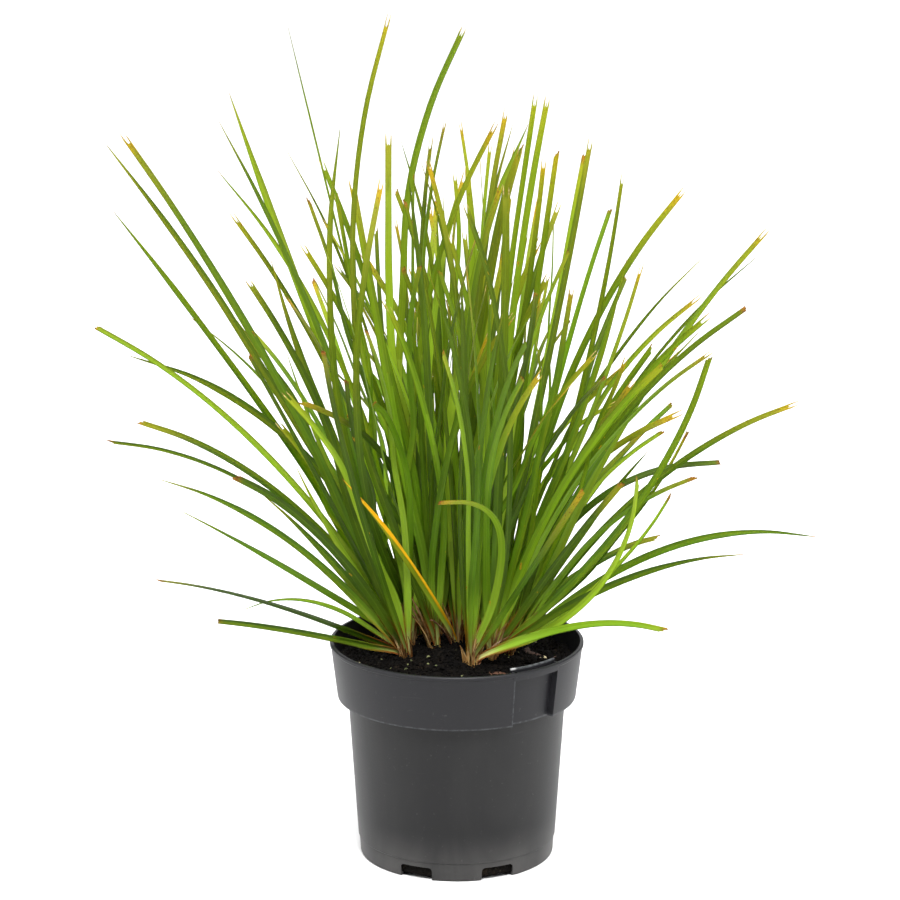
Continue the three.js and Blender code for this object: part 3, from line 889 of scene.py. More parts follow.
@dataclass
class Scatter:
    """A kind of loose bit that is strewn on the mix: how many, how big and how flat."""

    name: str
    finish: Grit
    seed: int
    count: int
    size: tuple[float, float]
    flat: tuple[float, float] = (0.35, 0.7)
    long: tuple[float, float] = (1.0, 1.8)
    rough: float = 0.22
    tilt: float = 25.0
    sunk: float = 0.3
    ring: tuple[float, float] = (0.0, 64.0)
    clear: float = 6.0
    beside_slot: float = 4.0
    slot_reach: float = 57.5
    wall_reach: float = 65.0
    places: tuple = ()

    def chunk(self, bm: bmesh.types.BMesh, draw: Draws, at: Vector) -> None:
        """Adds one bit, a jagged lump from a small icosphere.

        Args:
            bm: the mesh that it joins.
            draw: the row of random numbers.
            at: the point of the surface that it lies on.
        """
        size = draw.between(*self.size) * draw.between(0.6, 1.0)
        thick = size * draw.between(*self.flat)
        stretch = draw.between(*self.long)
        shade = draw.next()
        tilt = math.radians(self.tilt)
        angles = (draw.between(-tilt, tilt), draw.between(-tilt, tilt), draw.between(0, math.tau))
        lump = bmesh.new()
        layer = lump.verts.layers.float_vector.new("bit")
        bmesh.ops.create_icosphere(lump, subdivisions=1, radius=0.5)
        for vert in lump.verts:
            vert.co *= 1 + self.rough * (2 * draw.next() - 1)
            vert[layer] = Vector((shade, 0, 0))
        lift = Matrix.Translation(at + Vector((0, 0, thick * (0.5 - self.sunk))))
        shape = Matrix.Diagonal((size * stretch, size, thick, 1.0))
        bmesh.ops.transform(lump, matrix=lift @ Euler(angles).to_matrix().to_4x4() @ shape, verts=lump.verts)
        absorbed(bm, lump)

    def build(self, mix: Mix) -> bpy.types.Object:
        """Strews the bits over the mix, the bigger ones clear of the stem bases, and all clear of the flaps.

        Args:
            mix: the mix that they lie on.

        Returns:
            The finished piece.
        """
        draw = Draws(self.seed)
        bm = bmesh.new()
        for x, y in self.places:
            self.chunk(bm, draw, Vector((x, y, mix.crumbled(x, y))))
        made = 0
        while made < self.count:
            radius = math.sqrt(draw.between(self.ring[0] ** 2, self.ring[1] ** 2))
            angle = draw.between(0, math.tau)
            x, y = radius * math.cos(angle), radius * math.sin(angle)
            bearing = math.degrees(angle) + 90
            beside = self.beside_slot
            in_slot = any(slot[0] - beside < bearing % 360 < slot[1] + beside for slot in mix.pot.slots)
            clear = all(math.hypot(x - sx, y - sy) > self.clear for sx, sy in mix.stems)
            if clear and radius < (self.slot_reach if in_slot else self.wall_reach):
                self.chunk(bm, draw, Vector((x, y, mix.crumbled(x, y))))
                made += 1
        bmesh.ops.recalc_face_normals(bm, faces=bm.faces)
        return placed(self.name, bm, self.finish.material())


class LeafEnd(Enum):
    """How a leaf ends."""

    TEETH = "teeth"
    POINT = "point"
    CUT = "cut"


TEETH, POINT, CUT = LeafEnd.TEETH, LeafEnd.POINT, LeafEnd.CUT

# Each shoot: where it stands, how many leaves follow the rule, and the leaves that make the outline.
# A listed leaf is its tip x, y and z, its bow above the chord, its width, its end and a sideways sway.
SHOOTS = (
    (
        (-27, -3),
        5,
        (
            (-133, -20, 141, 2, 5.0, CUT),
            (-169, 0, 159, 6, 5.8, CUT),
            (-122, 35, 131, 16, 2.8, POINT),
            (-160, -50, 230, 14, 5.0, POINT),
            (-120, -65, 236, 12, 6.4, CUT),
            (-48, -75, 318, 22, 5.6, CUT),
            (-44, -90, 282, 38, 5.0, CUT),
            (-107, -30, 217, 4, 5.4, POINT),
        ),
    ),
    (
        (-25, 12),
        6,
        (
            (-151, -30, 207, 2, 5.2, POINT),
            (-196, 5, 238, 26, 3.6, CUT),
            (-180, 35, 242, 20, 4.8, CUT),
            (-200, 10, 302, 18, 4.2, CUT),
            (-180, -25, 416, 8, 6.4, TEETH),
            (-112, -50, 300, 0, 3.6, CUT),
            (-88, -40, 236, -4, 4.6, POINT),
        ),
    ),
    (
        (-21, 27),
        5,
        (
            (-182, 20, 283, 30, 5.6, POINT),
            (-152, 65, 296, 18, 4.0, POINT),
            (-190, 25, 364, 4, 5.0, POINT),
            (-190, -5, 406, 8, 5.2, POINT),
            (-133, 45, 383, 22, 4.0, POINT),
            (-128, -15, 420, 10, 5.4, POINT),
            (-62, -35, 422, -38, 6.2, POINT),
            (-40, -20, 392, -60, 5.0, TEETH),
            (-93, -20, 296, -6, 3.4, POINT),
        ),
    ),
    (
        (-11, 20),
        6,
        (
            (-126, 35, 362, 12, 4.4, TEETH),
            (-124, 10, 432, -2, 6.0, POINT),
            (-94, 60, 462, 0, 1.8, POINT),
            (-84, -60, 276, 28, 5.4, CUT),
            (-38, 45, 406, -10, 6.2, TEETH),
            (24, 15, 416, 30, 4.8, TEETH),
            (-87, 30, 346, 14, 5.0, TEETH),
            (-103, 20, 338, -8, 6.0, POINT),
        ),
    ),
    (
        (-8, 38),
        11,
        (
            (-14, 55, 402, -28, 5.4, TEETH),
            (6, 70, 380, 40, 5.2, TEETH),
        ),
    ),
    (
        (-11, 5),
        8,
        (
            (-76, 30, 394, 12, 4.8, TEETH),
            (-36, -10, 478, -36, 5.0, TEETH),
            (4, -20, 472, 58, 5.4, TEETH),
            (-58, 10, 386, 0, 6.2, TEETH),
            (-26, -45, 396, 12, 6.6, POINT),
        ),
    ),
    (
        (1, 8),
        11,
        (
            (-6, 25, 416, -44, 5.0, TEETH),
            (-62, -55, 232, 4, 4.6, POINT),
            (26, 15, 424, 6, 5.0, TEETH),
            (38, -25, 420, 26, 6.4, POINT),
        ),
    ),
    (
        (5, 26),
        12,
        (
            (44, 45, 428, 2, 4.8, TEETH),
            (50, 85, 386, -6, 4.8, TEETH),
        ),
    ),
    (
        (16, 12),
        8,
        (
            (50, 20, 430, 6, 5.6, TEETH),
            (56, 50, 394, 0, 5.0, CUT),
            (74, 20, 408, -2, 5.8, TEETH),
            (104, 30, 336, -6, 4.6, TEETH),
            (92, -20, 346, -6, 5.0, POINT),
            (140, 60, 332, 20, 2.6, POINT),
        ),
    ),
    (
        (7, -18),
        9,
        (
            (116, -45, 143, 11, 5.0, CUT),
            (68, -70, 230, 0, 4.8, CUT),
            (2, -85, 350, 10, 5.6, POINT),
            (-10, -105, 232, 30, 5.2, CUT, -22),
        ),
    ),
    (
        (18, -7),
        6,
        (
            (156, -35, 322, 20, 5.2, CUT),
            (138, -50, 302, 18, 4.8, TEETH),
            (138, -20, 292, -16, 5.4, CUT),
            (158, -25, 181, 12, 5.0, POINT),
            (98, -50, 232, -22, 4.6, CUT),
            (110, -60, 296, 14, 6.2, CUT),
            (26, -50, 392, -10, 6.6, TEETH),
            (91, -25, 222, 2, 5.6, CUT),
        ),
    ),
    (
        (28, 4),
        4,
        (
            (90, -10, 392, -6, 5.8, TEETH),
            (172, 10, 358, 12, 5.8, TEETH),
            (138, -30, 318, 18, 5.4, TEETH),
            (192, 15, 258, 20, 4.6, TEETH),
            (148, 20, 222, 32, 5.6, CUT),
            (132, -20, 224, 14, 5.2, CUT),
            (202, 15, 180, 24, 5.0, POINT),
            (118, 65, 166, 12, 4.8, CUT),
            (119, -10, 212, -8, 3.0, CUT),
            (134, 0, 302, 12, 6.0, POINT),
            (105, -15, 237, 4, 5.6, POINT),
        ),
    ),
    (
        (25, 20),
        5,
        (
            (72, 70, 388, 2, 5.0, CUT),
            (88, 90, 354, 8, 4.6, CUT),
            (128, 45, 374, 22, 5.4, TEETH),
            (170, 60, 332, 20, 2.6, POINT),
            (139, 55, 311, 24, 4.6, TEETH),
            (124, 70, 244, 10, 4.4, CUT),
            (131, 40, 235, -10, 2.6, CUT),
            (118, 50, 233, 14, 4.0, CUT),
            (127, 25, 286, 14, 5.8, TEETH),
            (111, 40, 285, 8, 5.6, CUT),
        ),
    ),
    (
        (14, 40),
        13,
        (),
    ),
    (
        (-23, 44),
        11,
        (
            (-95, 50, 394, 18, 2.4, POINT),
        ),
    ),
)


@dataclass
class Leaf:
    """A leaf's place, form and age."""

    shoot: int
    tip: Triple
    bow: float
    width: float
    end: LeafEnd
    sway: float = 0.0
    roll: float = 0.0
    twist: float = 0.0
    tint: float = 0.5
    yellow: float = 0.0
    brown: float = 0.0
    listed: bool = False


@dataclass
class Blade:
    """A thin folded strap along a smooth curve, for a leaf, a dry sheath or a dry tip."""

    guide: np.ndarray
    width: float
    end: LeafEnd
    roll: float = 0.0
    twist: float = 0.0
    look: Triple = (0.5, 0.0, 0.0)
    columns: int = 8
    rows: int = 44
    thickness: float = 0.34
    channel: float = 0.62
    root_width: float = 0.55
    tip_width: float = 0.56
    taper: float = 55.0
    tooth: float = 7.0
    stub: Optional[np.ndarray] = None
    under: float = 3.0
    samples: int = 20
    buried: float = 0.5

    def curve(self) -> tuple[np.ndarray, np.ndarray]:
        """Samples the smooth curve through the guide points, with the length that is buried under the root.

        Returns:
            The points, and how far each lies from the root along the curve.
        """
        guide = self.guide
        if self.stub is None:
            below = guide[0] - guide[1]
            guide = np.vstack((guide[0] + below / np.linalg.norm(below) * self.under, guide))
        else:
            guide = np.vstack((self.stub, guide))
        guide = np.vstack((2 * guide[0] - guide[1], guide, 2 * guide[-1] - guide[-2]))
        pieces = []
        share = np.linspace(0, 1, self.samples, endpoint=False)[:, None]
        for a, b, c, d in zip(guide, guide[1:], guide[2:], guide[3:]):
            bend = (2 * a - 5 * b + 4 * c - d) * share**2 + (3 * b - a - 3 * c + d) * share**3
            pieces.append(b + 0.5 * ((c - a) * share + bend))
        points = np.vstack(pieces + [guide[-2]])
        run = np.concatenate(([0.0], np.cumsum(np.linalg.norm(np.diff(points, axis=0), axis=1))))
        return points, run - run[self.samples]

    def frames(self, points: np.ndarray, run: np.ndarray) -> tuple[np.ndarray, np.ndarray]:
        """Gives the directions across the blade and out of its open side along the curve.

        Args:
            points: the curve's points.
            run: their distances from the root.

        Returns:
            The two directions at each point.
        """
        along = np.gradient(points, axis=0)
        along /= np.linalg.norm(along, axis=1)[:, None]
        level = np.cross((0.0, 1.0, 0.0), along)
        level /= np.linalg.norm(level, axis=1)[:, None]
        for i in range(1, len(level)):
            if level[i] @ level[i - 1] < 0:
                level[i] *= -1
        turn = np.radians(self.roll + self.twist * np.clip(run / run[-1], 0, 1))[:, None]
        across = level * np.cos(turn) + np.cross(along, level) * np.sin(turn)
        return across, np.cross(across, along)

    def reach(self, u: np.ndarray, draw: Draws) -> np.ndarray:
        """Gives how far short of the tip the blade ends, over its width.

        Args:
            u: places across the blade, from -1 to 1.
            draw: the row of random numbers.

        Returns:
            The shortfalls in millimetres.
        """
        if self.end is LeafEnd.POINT:
            return np.zeros_like(u)
        if self.end is LeafEnd.CUT:
            slope, ragged = draw.between(-3.0, 3.0), draw.between(0.2, 0.9)
            return abs(slope) + slope * u + ragged * np.sin(u * 7.0 + slope * 9.0)
        deep = self.tooth + draw.between(0.0, 2.5)
        first, second, middle = draw.between(0, 0.8), draw.between(0.4, 3.2), deep - draw.between(0.2, 3.4)
        places = (-1.0, -0.75, -0.5, -0.25, 0.0, 0.25, 0.5, 0.75, 1.0)
        short = (first + 3.6, first, deep - 1.2, deep, middle, deep, deep - 0.8, second, second + 3.2)
        return np.interp(u, places, short)

    def build(self, bm: bmesh.types.BMesh, cell: tuple[float, float], seed: int) -> None:
        """Adds the blade: a flat grid is laid along the curve, folded, and given its thickness.

        Args:
            bm: the mesh that it joins, which has the layers blade, growth and OFBake.
            cell: the share of the map's width that it may use.
            seed: what makes its end differ from the others.
        """
        draw = Draws(seed)
        points, run = self.curve()
        across, face = self.frames(points, run)
        grid = bmesh.ops.create_grid(bm, x_segments=self.columns, y_segments=self.rows, size=1.0)["verts"]
        flat = np.array([vert.co for vert in grid])
        u, row = flat[:, 0], (flat[:, 1] + 1) / 2 * self.rows
        length, under = run[-1], -run[0]
        near_tip = min(26.0, 0.35 * length)
        fine = self.rows // 4
        rest = self.rows - fine
        s = np.where(
            row <= rest,
            -under + (length - near_tip + under) * row / rest,
            length - near_tip + near_tip * (row - rest) / fine,
        )
        zone = self.tooth + 6.0 if self.end is LeafEnd.TEETH else 6.0
        short = np.clip(self.reach(u, draw), 0, zone - 0.5)
        s = np.where(s > length - zone, length - zone + (s - length + zone) * (zone - short) / zone, s)
        t = np.clip(s / length, 0, 1)
        half = self.width / 2 * (1 + (self.tip_width - 1) * t)
        half *= self.root_width + (1 - self.root_width) * np.sin(np.minimum(1, t * 4) * math.pi / 2)
        if self.end is LeafEnd.POINT:
            half *= np.clip((length - s + 0.4) / min(self.taper, 0.6 * length), 0, 1) ** 0.8
        half *= 1 + 0.04 * np.sin(s * 0.06 + seed)
        half *= 1 - self.buried * np.clip(-s / under, 0, 1)
        folded = 0.75 + 0.6 * np.exp(-np.maximum(s, 0) / 25.0)
        deep = self.channel * folded * (half / (self.width / 2)) ** 0.5
        deep = np.minimum(deep, 0.88)
        at = np.stack([np.interp(s, run, points[:, k]) for k in range(3)], 1)
        side = np.stack([np.interp(s, run, across[:, k]) for k in range(3)], 1)
        out = np.stack([np.interp(s, run, face[:, k]) for k in range(3)], 1)
        place = at + side * (half * u)[:, None] - out * (deep * (1 - np.abs(u) ** 1.25))[:, None]
        blade = bm.verts.layers.float_vector["blade"]
        growth = bm.verts.layers.float_vector["growth"]
        ending = bm.verts.layers.float_vector["end"]
        teeth = Vector((1.0 if self.end is LeafEnd.TEETH else 0.0, 0.0, 0.0))
        for vert, co, across_it, from_root in zip(grid, place, u, s):
            vert.co = co
            vert[blade] = Vector((across_it, from_root, length - from_root))
            vert[growth] = Vector(self.look)
            vert[ending] = teeth
        self.thicken(bm, grid, cell, (under, length))

    def thicken(self, bm: bmesh.types.BMesh, grid: list, cell: tuple[float, float], ends: tuple) -> None:
        """Gives the sheet its thickness and lays out its map: two strips for its sides and two for its edges.

        Args:
            bm: the mesh.
            grid: the sheet's vertices.
            cell: the share of the map's width that it may use.
            ends: how far the blade reaches under its root and over it.
        """
        front = set(grid)
        sheet = list(dict.fromkeys(face for vert in grid for face in vert.link_faces))
        made = bmesh.ops.solidify(bm, geom=sheet, thickness=self.thickness)["geom"]
        faces = list(dict.fromkeys(sheet + [item for item in made if isinstance(item, bmesh.types.BMFace)]))
        blade, ending = (bm.verts.layers.float_vector[name] for name in ("blade", "end"))
        for vert in {vert for face in faces for vert in face.verts} - front:
            vert[ending].y = 1.0
        chart = bm.loops.layers.uv["OFBake"]
        left, wide = cell[0], cell[1] - cell[0]
        for face in faces:
            sides = {loop.vert in front for loop in face.loops}
            rim = len(sides) == 2
            face.smooth = True
            middle = sum(loop.vert[blade].x for loop in face.loops)
            for loop in face.loops:
                u, root, _ = loop.vert[blade]
                if rim:
                    strip = (0.82 if middle < 0 else 0.9) + (0.04 if loop.vert in front else 0.0)
                else:
                    strip = (0.02 if loop.vert in front else 0.42) + 0.38 * (u + 1) / 2
                high = (root + ends[0]) / sum(ends)
                loop[chart].uv = (left + wide * strip, 0.01 + 0.98 * high)
            if rim:
                for edge in face.edges:
                    edge.smooth = len({vert in front for vert in edge.verts}) == 2


def blade_mesh() -> bmesh.types.BMesh:
    """Starts a mesh that has the layers that blades need."""
    bm = bmesh.new()
    bm.verts.layers.float_vector.new("blade")
    bm.verts.layers.float_vector.new("growth")
    bm.verts.layers.float_vector.new("end")
    bm.loops.layers.uv.new("OFBake")
    return bm


@dataclass
class Clearance:
    """How leaves that come too close are bent clear of each other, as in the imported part."""

    rounds: int = 140
    extra: float = 0.8
    share: float = 0.92
    sideways: float = 0.5
    bundle: float = 60.0
    push: float = 0.55
    margin: float = 4.0
    listed_hold: float = 0.2
    drawn_hold: float = 0.8

    def bend(self, points: np.ndarray, widths: np.ndarray, shoots: np.ndarray, listed: np.ndarray) -> None:
        """Bends the centrelines in place.

        Args:
            points: the centrelines, leaf by leaf.
            widths: the leaves' widths.
            shoots: the shoot that each leaf belongs to.
            listed: which leaves are listed, and so hold their place better than the others.
        """
        hold = np.where(listed, self.listed_hold, self.drawn_hold)
        spans = points.shape[1] - 1
        reach = widths.max() * self.share + self.extra
        one_span, other_span = (grid.ravel() for grid in np.divmod(np.arange(spans * spans), spans))
        for _ in range(self.rounds):
            low, high = points.min(1) - self.margin, points.max(1) + self.margin
            meet = np.all((low[:, None] <= high[None]) & (low[None] <= high[:, None]), axis=2)
            first, second = np.nonzero(np.triu(meet, 1))
            i, j = np.repeat(first, spans * spans), np.repeat(second, spans * spans)
            a, b = np.tile(one_span, len(first)), np.tile(other_span, len(first))
            floor = np.minimum(points[:, :-1], points[:, 1:])
            roof = np.maximum(points[:, :-1], points[:, 1:])
            near = np.all(floor[i, a] - reach <= roof[j, b], axis=1)
            near &= np.all(floor[j, b] - reach <= roof[i, a], axis=1)
            i, j, a, b = i[near], j[near], a[near], b[near]
            pushes = self.pushes(points, widths, shoots, hold, (i, a), (j, b))
            points[:, 1:] += self.push * pushes[:, 1:]

    def pushes(
        self,
        points: np.ndarray,
        widths: np.ndarray,
        shoots: np.ndarray,
        hold: np.ndarray,
        one: tuple[np.ndarray, np.ndarray],
        other: tuple[np.ndarray, np.ndarray],
    ) -> np.ndarray:
        """Adds up how far each point is pushed in one round.

        Args:
            points: the centrelines.
            widths: the leaves' widths.
            shoots: the leaves' shoots.
            hold: the share of a push that each leaf takes.
            one: the leaf and span of the first of each pair.
            other: the same for the second.

        Returns:
            The push on each point.
        """
        (i, a), (j, b) = one, other
        start, begin = points[i, a], points[j, b]
        along, beside, between = points[i, a + 1] - start, points[j, b + 1] - begin, start - begin

        def dot(p: np.ndarray, q: np.ndarray) -> np.ndarray:
            """The dot product of each pair of rows."""
            return np.einsum("ij,ij->i", p, q)

        uu, uv, vv = dot(along, along), dot(along, beside), dot(beside, beside)
        uw, vw = dot(along, between), dot(beside, between)
        cross = uu * vv - uv * uv
        safe = np.where(cross > 1e-9, cross, 1.0)
        s = np.where(cross > 1e-9, np.clip((uv * vw - vv * uw) / safe, 0, 1), 0.0)
        t = np.clip((uv * s + vw) / vv, 0, 1)
        s = np.clip((uv * t - uw) / uu, 0, 1)
        apart = between + along * s[:, None] - beside * t[:, None]
        gap = np.linalg.norm(apart, axis=1)
        height = start[:, 2] + s * along[:, 2] - points[i, 0, 2]
        chord = np.linalg.norm(points[i, 0] - points[i, -1], axis=1)
        from_root = (a + s) * chord / (points.shape[1] - 1)
        bundled = np.where(shoots[i] == shoots[j], np.minimum(1, from_root / self.bundle), 1.0)
        need = ((widths[i] + widths[j]) / 2 * self.share + self.extra) * bundled
        away = np.where(gap[:, None] > 1e-6, apart / np.maximum(gap, 1e-6)[:, None], (0.0, 1.0, 0.0))
        away = away * (self.sideways, 1.0, self.sideways)
        apart = np.where((gap < need) & (height > -1), need - gap, 0.0)[:, None] * away
        taken = (hold[i] / (hold[i] + hold[j]))[:, None]
        step, back = apart * taken, apart * (taken - 1)
        total = np.zeros_like(points)
        np.add.at(total, (i, a), step * (1 - s)[:, None])
        np.add.at(total, (i, a + 1), step * s[:, None])
        np.add.at(total, (j, b), back * (1 - t)[:, None])
        np.add.at(total, (j, b + 1), back * t[:, None])
        return total


@dataclass
class Tussock:
    """The fifteen shoots and their leaves, with the dry sheaths and tips between them."""

    mix: Mix
    crown: tuple[float, float] = (0.0, 10.0)
    seed: int = 5
    lean: tuple = ((4.0, 30.0), (12.0, 56.0))
    front_lean: float = 34.0
    inner_radius: float = 17.0
    spread: tuple[float, float] = (180.0, 75.0)
    length: float = 254.0
    length_per_degree: float = 0.75
    length_spread: float = 0.2
    narrowed: float = 0.62
    bow: tuple[float, float] = (0.02, 0.1)
    sway: float = 0.06
    width: tuple[float, float] = (4.0, 5.6)
    root_rise: float = 2.0
    root_reach: float = 3.4
    buried: float = 12.0
    buried_reach: float = 1.2
    spans: int = 6
    bend: float = 0.58
    stem_radius: float = 4.2
    stem_foot: float = 98.0
    stem_rise: float = 1.5
    leaf_seed: int = 23
    leaf_seed_step: int = 7
    roll: tuple[float, float] = (110.0, 70.0)
    twist: tuple[float, float] = (100.0, 60.0)
    turned_leaf: tuple[int, int] = (6, 1)

    def root_height(self, shoot: int) -> float:
        """The height at which a shoot's leaves begin, just over the mix."""
        return self.mix.surface(*SHOOTS[shoot][0]) + self.root_rise

    def centreline(self, leaf: Leaf) -> np.ndarray:
        """Gives a leaf's curve as a few points: it bows above its chord and sways to one side."""
        sx, sy = SHOOTS[leaf.shoot][0]
        end = np.array(leaf.tip, float)
        height = self.root_height(leaf.shoot)
        chord = end - (sx, sy, height)
        chord /= np.linalg.norm(chord)
        root = np.array((sx + chord[0] * self.root_reach, sy + chord[1] * self.root_reach, height))
        along = end - root
        along /= np.linalg.norm(along)
        up = np.array((0.0, 0.0, 1.0)) - along * along[2]
        up /= np.linalg.norm(up)
        middle = root + (end - root) * self.bend + up * 2 * leaf.bow + np.cross(along, up) * 2 * leaf.sway
        share = np.linspace(0, 1, self.spans + 1)[:, None]
        return root * (1 - share) ** 2 + middle * 2 * share * (1 - share) + end * share**2

    def drawn(self, shoot: int, draw: Draws) -> Leaf:
        """Draws a leaf that isn't listed.

        Args:
            shoot: the shoot that it grows from.
            draw: the shoot's row of random numbers.

        Returns:
            The leaf.
        """
        sx, sy = SHOOTS[shoot][0]
        dx, dy = sx - self.crown[0], sy - self.crown[1]
        ring = 0 if math.hypot(dx, dy) < self.inner_radius else 1
        outward = math.degrees(math.atan2(dy, dx))
        bearing = math.radians(outward + self.spread[ring] * (2 * draw.next() - 1))
        least, most = self.lean[ring]
        most = blend(most, min(self.front_lean, most), max(0.0, -math.sin(bearing)))
        lean = blend(least, most, draw.next())
        length = self.length - self.length_per_degree * lean
        length *= 1 + self.length_spread * (2 * draw.next() - 1)
        reach = length * math.sin(math.radians(lean))
        tip = (
            sx + reach * math.cos(bearing) * self.narrowed,
            sy + reach * math.sin(bearing),
            self.root_height(shoot) + length * math.cos(math.radians(lean)),
        )
        bow = length * draw.between(*self.bow) * (lean / 40 + 0.2)
        sway = length * self.sway * (2 * draw.next() - 1)
        width = draw.between(*self.width)
        kind = draw.next()
        end = TEETH if kind < 0.45 else CUT if kind < 0.8 else POINT
        return Leaf(shoot, tip, bow, width, end, sway)

    def grown(self) -> tuple[list[Leaf], np.ndarray]:
        """Grows all the leaves and bends them clear of each other.

        Returns:
            The leaves, and their centrelines.
        """
        leaves: list[Leaf] = []
        for shoot, (_, more, listed) in enumerate(SHOOTS):
            draw = Draws(self.seed + 101 * shoot)
            for x, y, z, bow, width, end, *sway in listed:
                leaves.append(Leaf(shoot, (x, y, z), bow, width, end, sway[0] if sway else 0.0, listed=True))
            leaves += [self.drawn(shoot, draw) for _ in range(more)]
        for i, leaf in enumerate(leaves):
            draw = Draws(self.leaf_seed + self.leaf_seed_step * i)
            leaf.roll = self.roll[leaf.listed] * (draw.next() - 0.5)
            leaf.twist = self.twist[leaf.listed] * (draw.next() - 0.5)
        self.aged(leaves)
        points = np.array([self.centreline(leaf) for leaf in leaves])
        widths = np.array([leaf.width for leaf in leaves])
        shoots = np.array([leaf.shoot for leaf in leaves])
        listed = np.array([leaf.listed for leaf in leaves])
        Clearance().bend(points, widths, shoots, listed)
        return leaves, points

    def aged(self, leaves: list[Leaf]) -> None:
        """Gives each leaf its shade, and how yellow and how brown its end is."""
        counts = [0] * len(SHOOTS)
        for i, leaf in enumerate(leaves):
            draw = Draws(4000 + 13 * i)
            leaf.tint = min(0.98, max(0.02, 0.47 + draw.between(-0.47, 0.47)))
            age = draw.next()
            if leaf.end is TEETH:
                leaf.yellow, leaf.brown = blend(0.1, 1.0, age), blend(0.05, 0.4, draw.next())
            elif leaf.end is CUT:
                leaf.yellow, leaf.brown = blend(0.05, 0.7, age * age), blend(0.1, 0.6, draw.next() ** 2)
            else:
                leaf.yellow, leaf.brown = blend(0.0, 0.4, age), blend(0.0, 0.3, draw.next())
            if (leaf.shoot, counts[leaf.shoot]) == self.turned_leaf:
                leaf.yellow, leaf.brown = 2.0, 0.2
            counts[leaf.shoot] += 1

    def stub(self, leaf: Leaf, root: np.ndarray) -> np.ndarray:
        """Gives the point inside the stem base that a leaf rises from, under its root."""
        at = np.array((*SHOOTS[leaf.shoot][0], root[2] - self.buried))
        at[:2] += (root[:2] - at[:2]) * self.buried_reach / self.root_reach
        return at

    def stem(self, bm: bmesh.types.BMesh, shoot: int, cell: tuple[float, float]) -> None:
        """Adds a shoot's stem base, which stands in its hole in the mix and narrows among the leaves.

        Args:
            bm: the shoot's mesh.
            shoot: the shoot.
            cell: the share of the map's width that it may use.
        """
        at = SHOOTS[shoot][0]
        radius, foot = self.stem_radius, self.stem_foot
        top = self.root_height(shoot) + self.stem_rise
        outline = [
            (0.0, foot),
            (radius - 1.2, foot + 0.2),
            (radius - 0.2, foot + 2.0),
            (radius, foot + 6.0),
            (radius, top - 8.0),
            (radius - 0.8, top - 5.5),
            (radius - 2.2, top - 4.2),
            (0.0, top - 3.6),
        ]
        body = turned(outline, 20)
        layers = body.verts.layers.float_vector
        blade, growth, ending = (layers.new(name) for name in ("blade", "growth", "end"))
        chart = body.loops.layers.uv.new("OFBake")
        for vert in body.verts:
            bearing = math.atan2(vert.co.y, vert.co.x)
            vert[blade] = Vector((math.sin(bearing * 5), vert.co.z - top - 4, 200.0))
            vert[growth] = Vector((0.3, 0.0, 0.0))
            vert[ending] = Vector()
        for face in body.faces:
            face.smooth = True
            middle = face.calc_center_median()
            for loop in face.loops:
                turn = math.atan2(loop.vert.co.y, loop.vert.co.x) - math.atan2(middle.y, middle.x)
                turn = (turn + math.pi) % math.tau - math.pi + math.atan2(middle.y, middle.x)
                share = 0.5 + turn / math.tau * 0.9
                high = (loop.vert.co.z - foot) / (top - foot)
                loop[chart].uv = (blend(*cell, share), 0.02 + 0.96 * high)
        bmesh.ops.translate(body, vec=Vector((*at, 0)), verts=body.verts)
        absorbed(bm, body)

    def build(self) -> None:
        """Builds one piece for each shoot."""
        leaves, points = self.grown()
        material = LeafBlade().material()
        for shoot in range(len(SHOOTS)):
            own = [i for i, leaf in enumerate(leaves) if leaf.shoot == shoot]
            bm = blade_mesh()
            step = 1 / (len(own) + 1)
            for place, i in enumerate(own):
                leaf = leaves[i]
                look = (leaf.tint, leaf.yellow, leaf.brown)
                stub = self.stub(leaf, points[i][0])
                strap = Blade(points[i], leaf.width, leaf.end, leaf.roll, leaf.twist, look, stub=stub)
                strap.build(bm, (place * step, (place + 1) * step), 700 + i)
            self.stem(bm, shoot, (1 - step, 1.0))
            number = f"{shoot + 1:02d}"
            placed(f"leaves_{number}", bm, material, f"shoot_{number}")


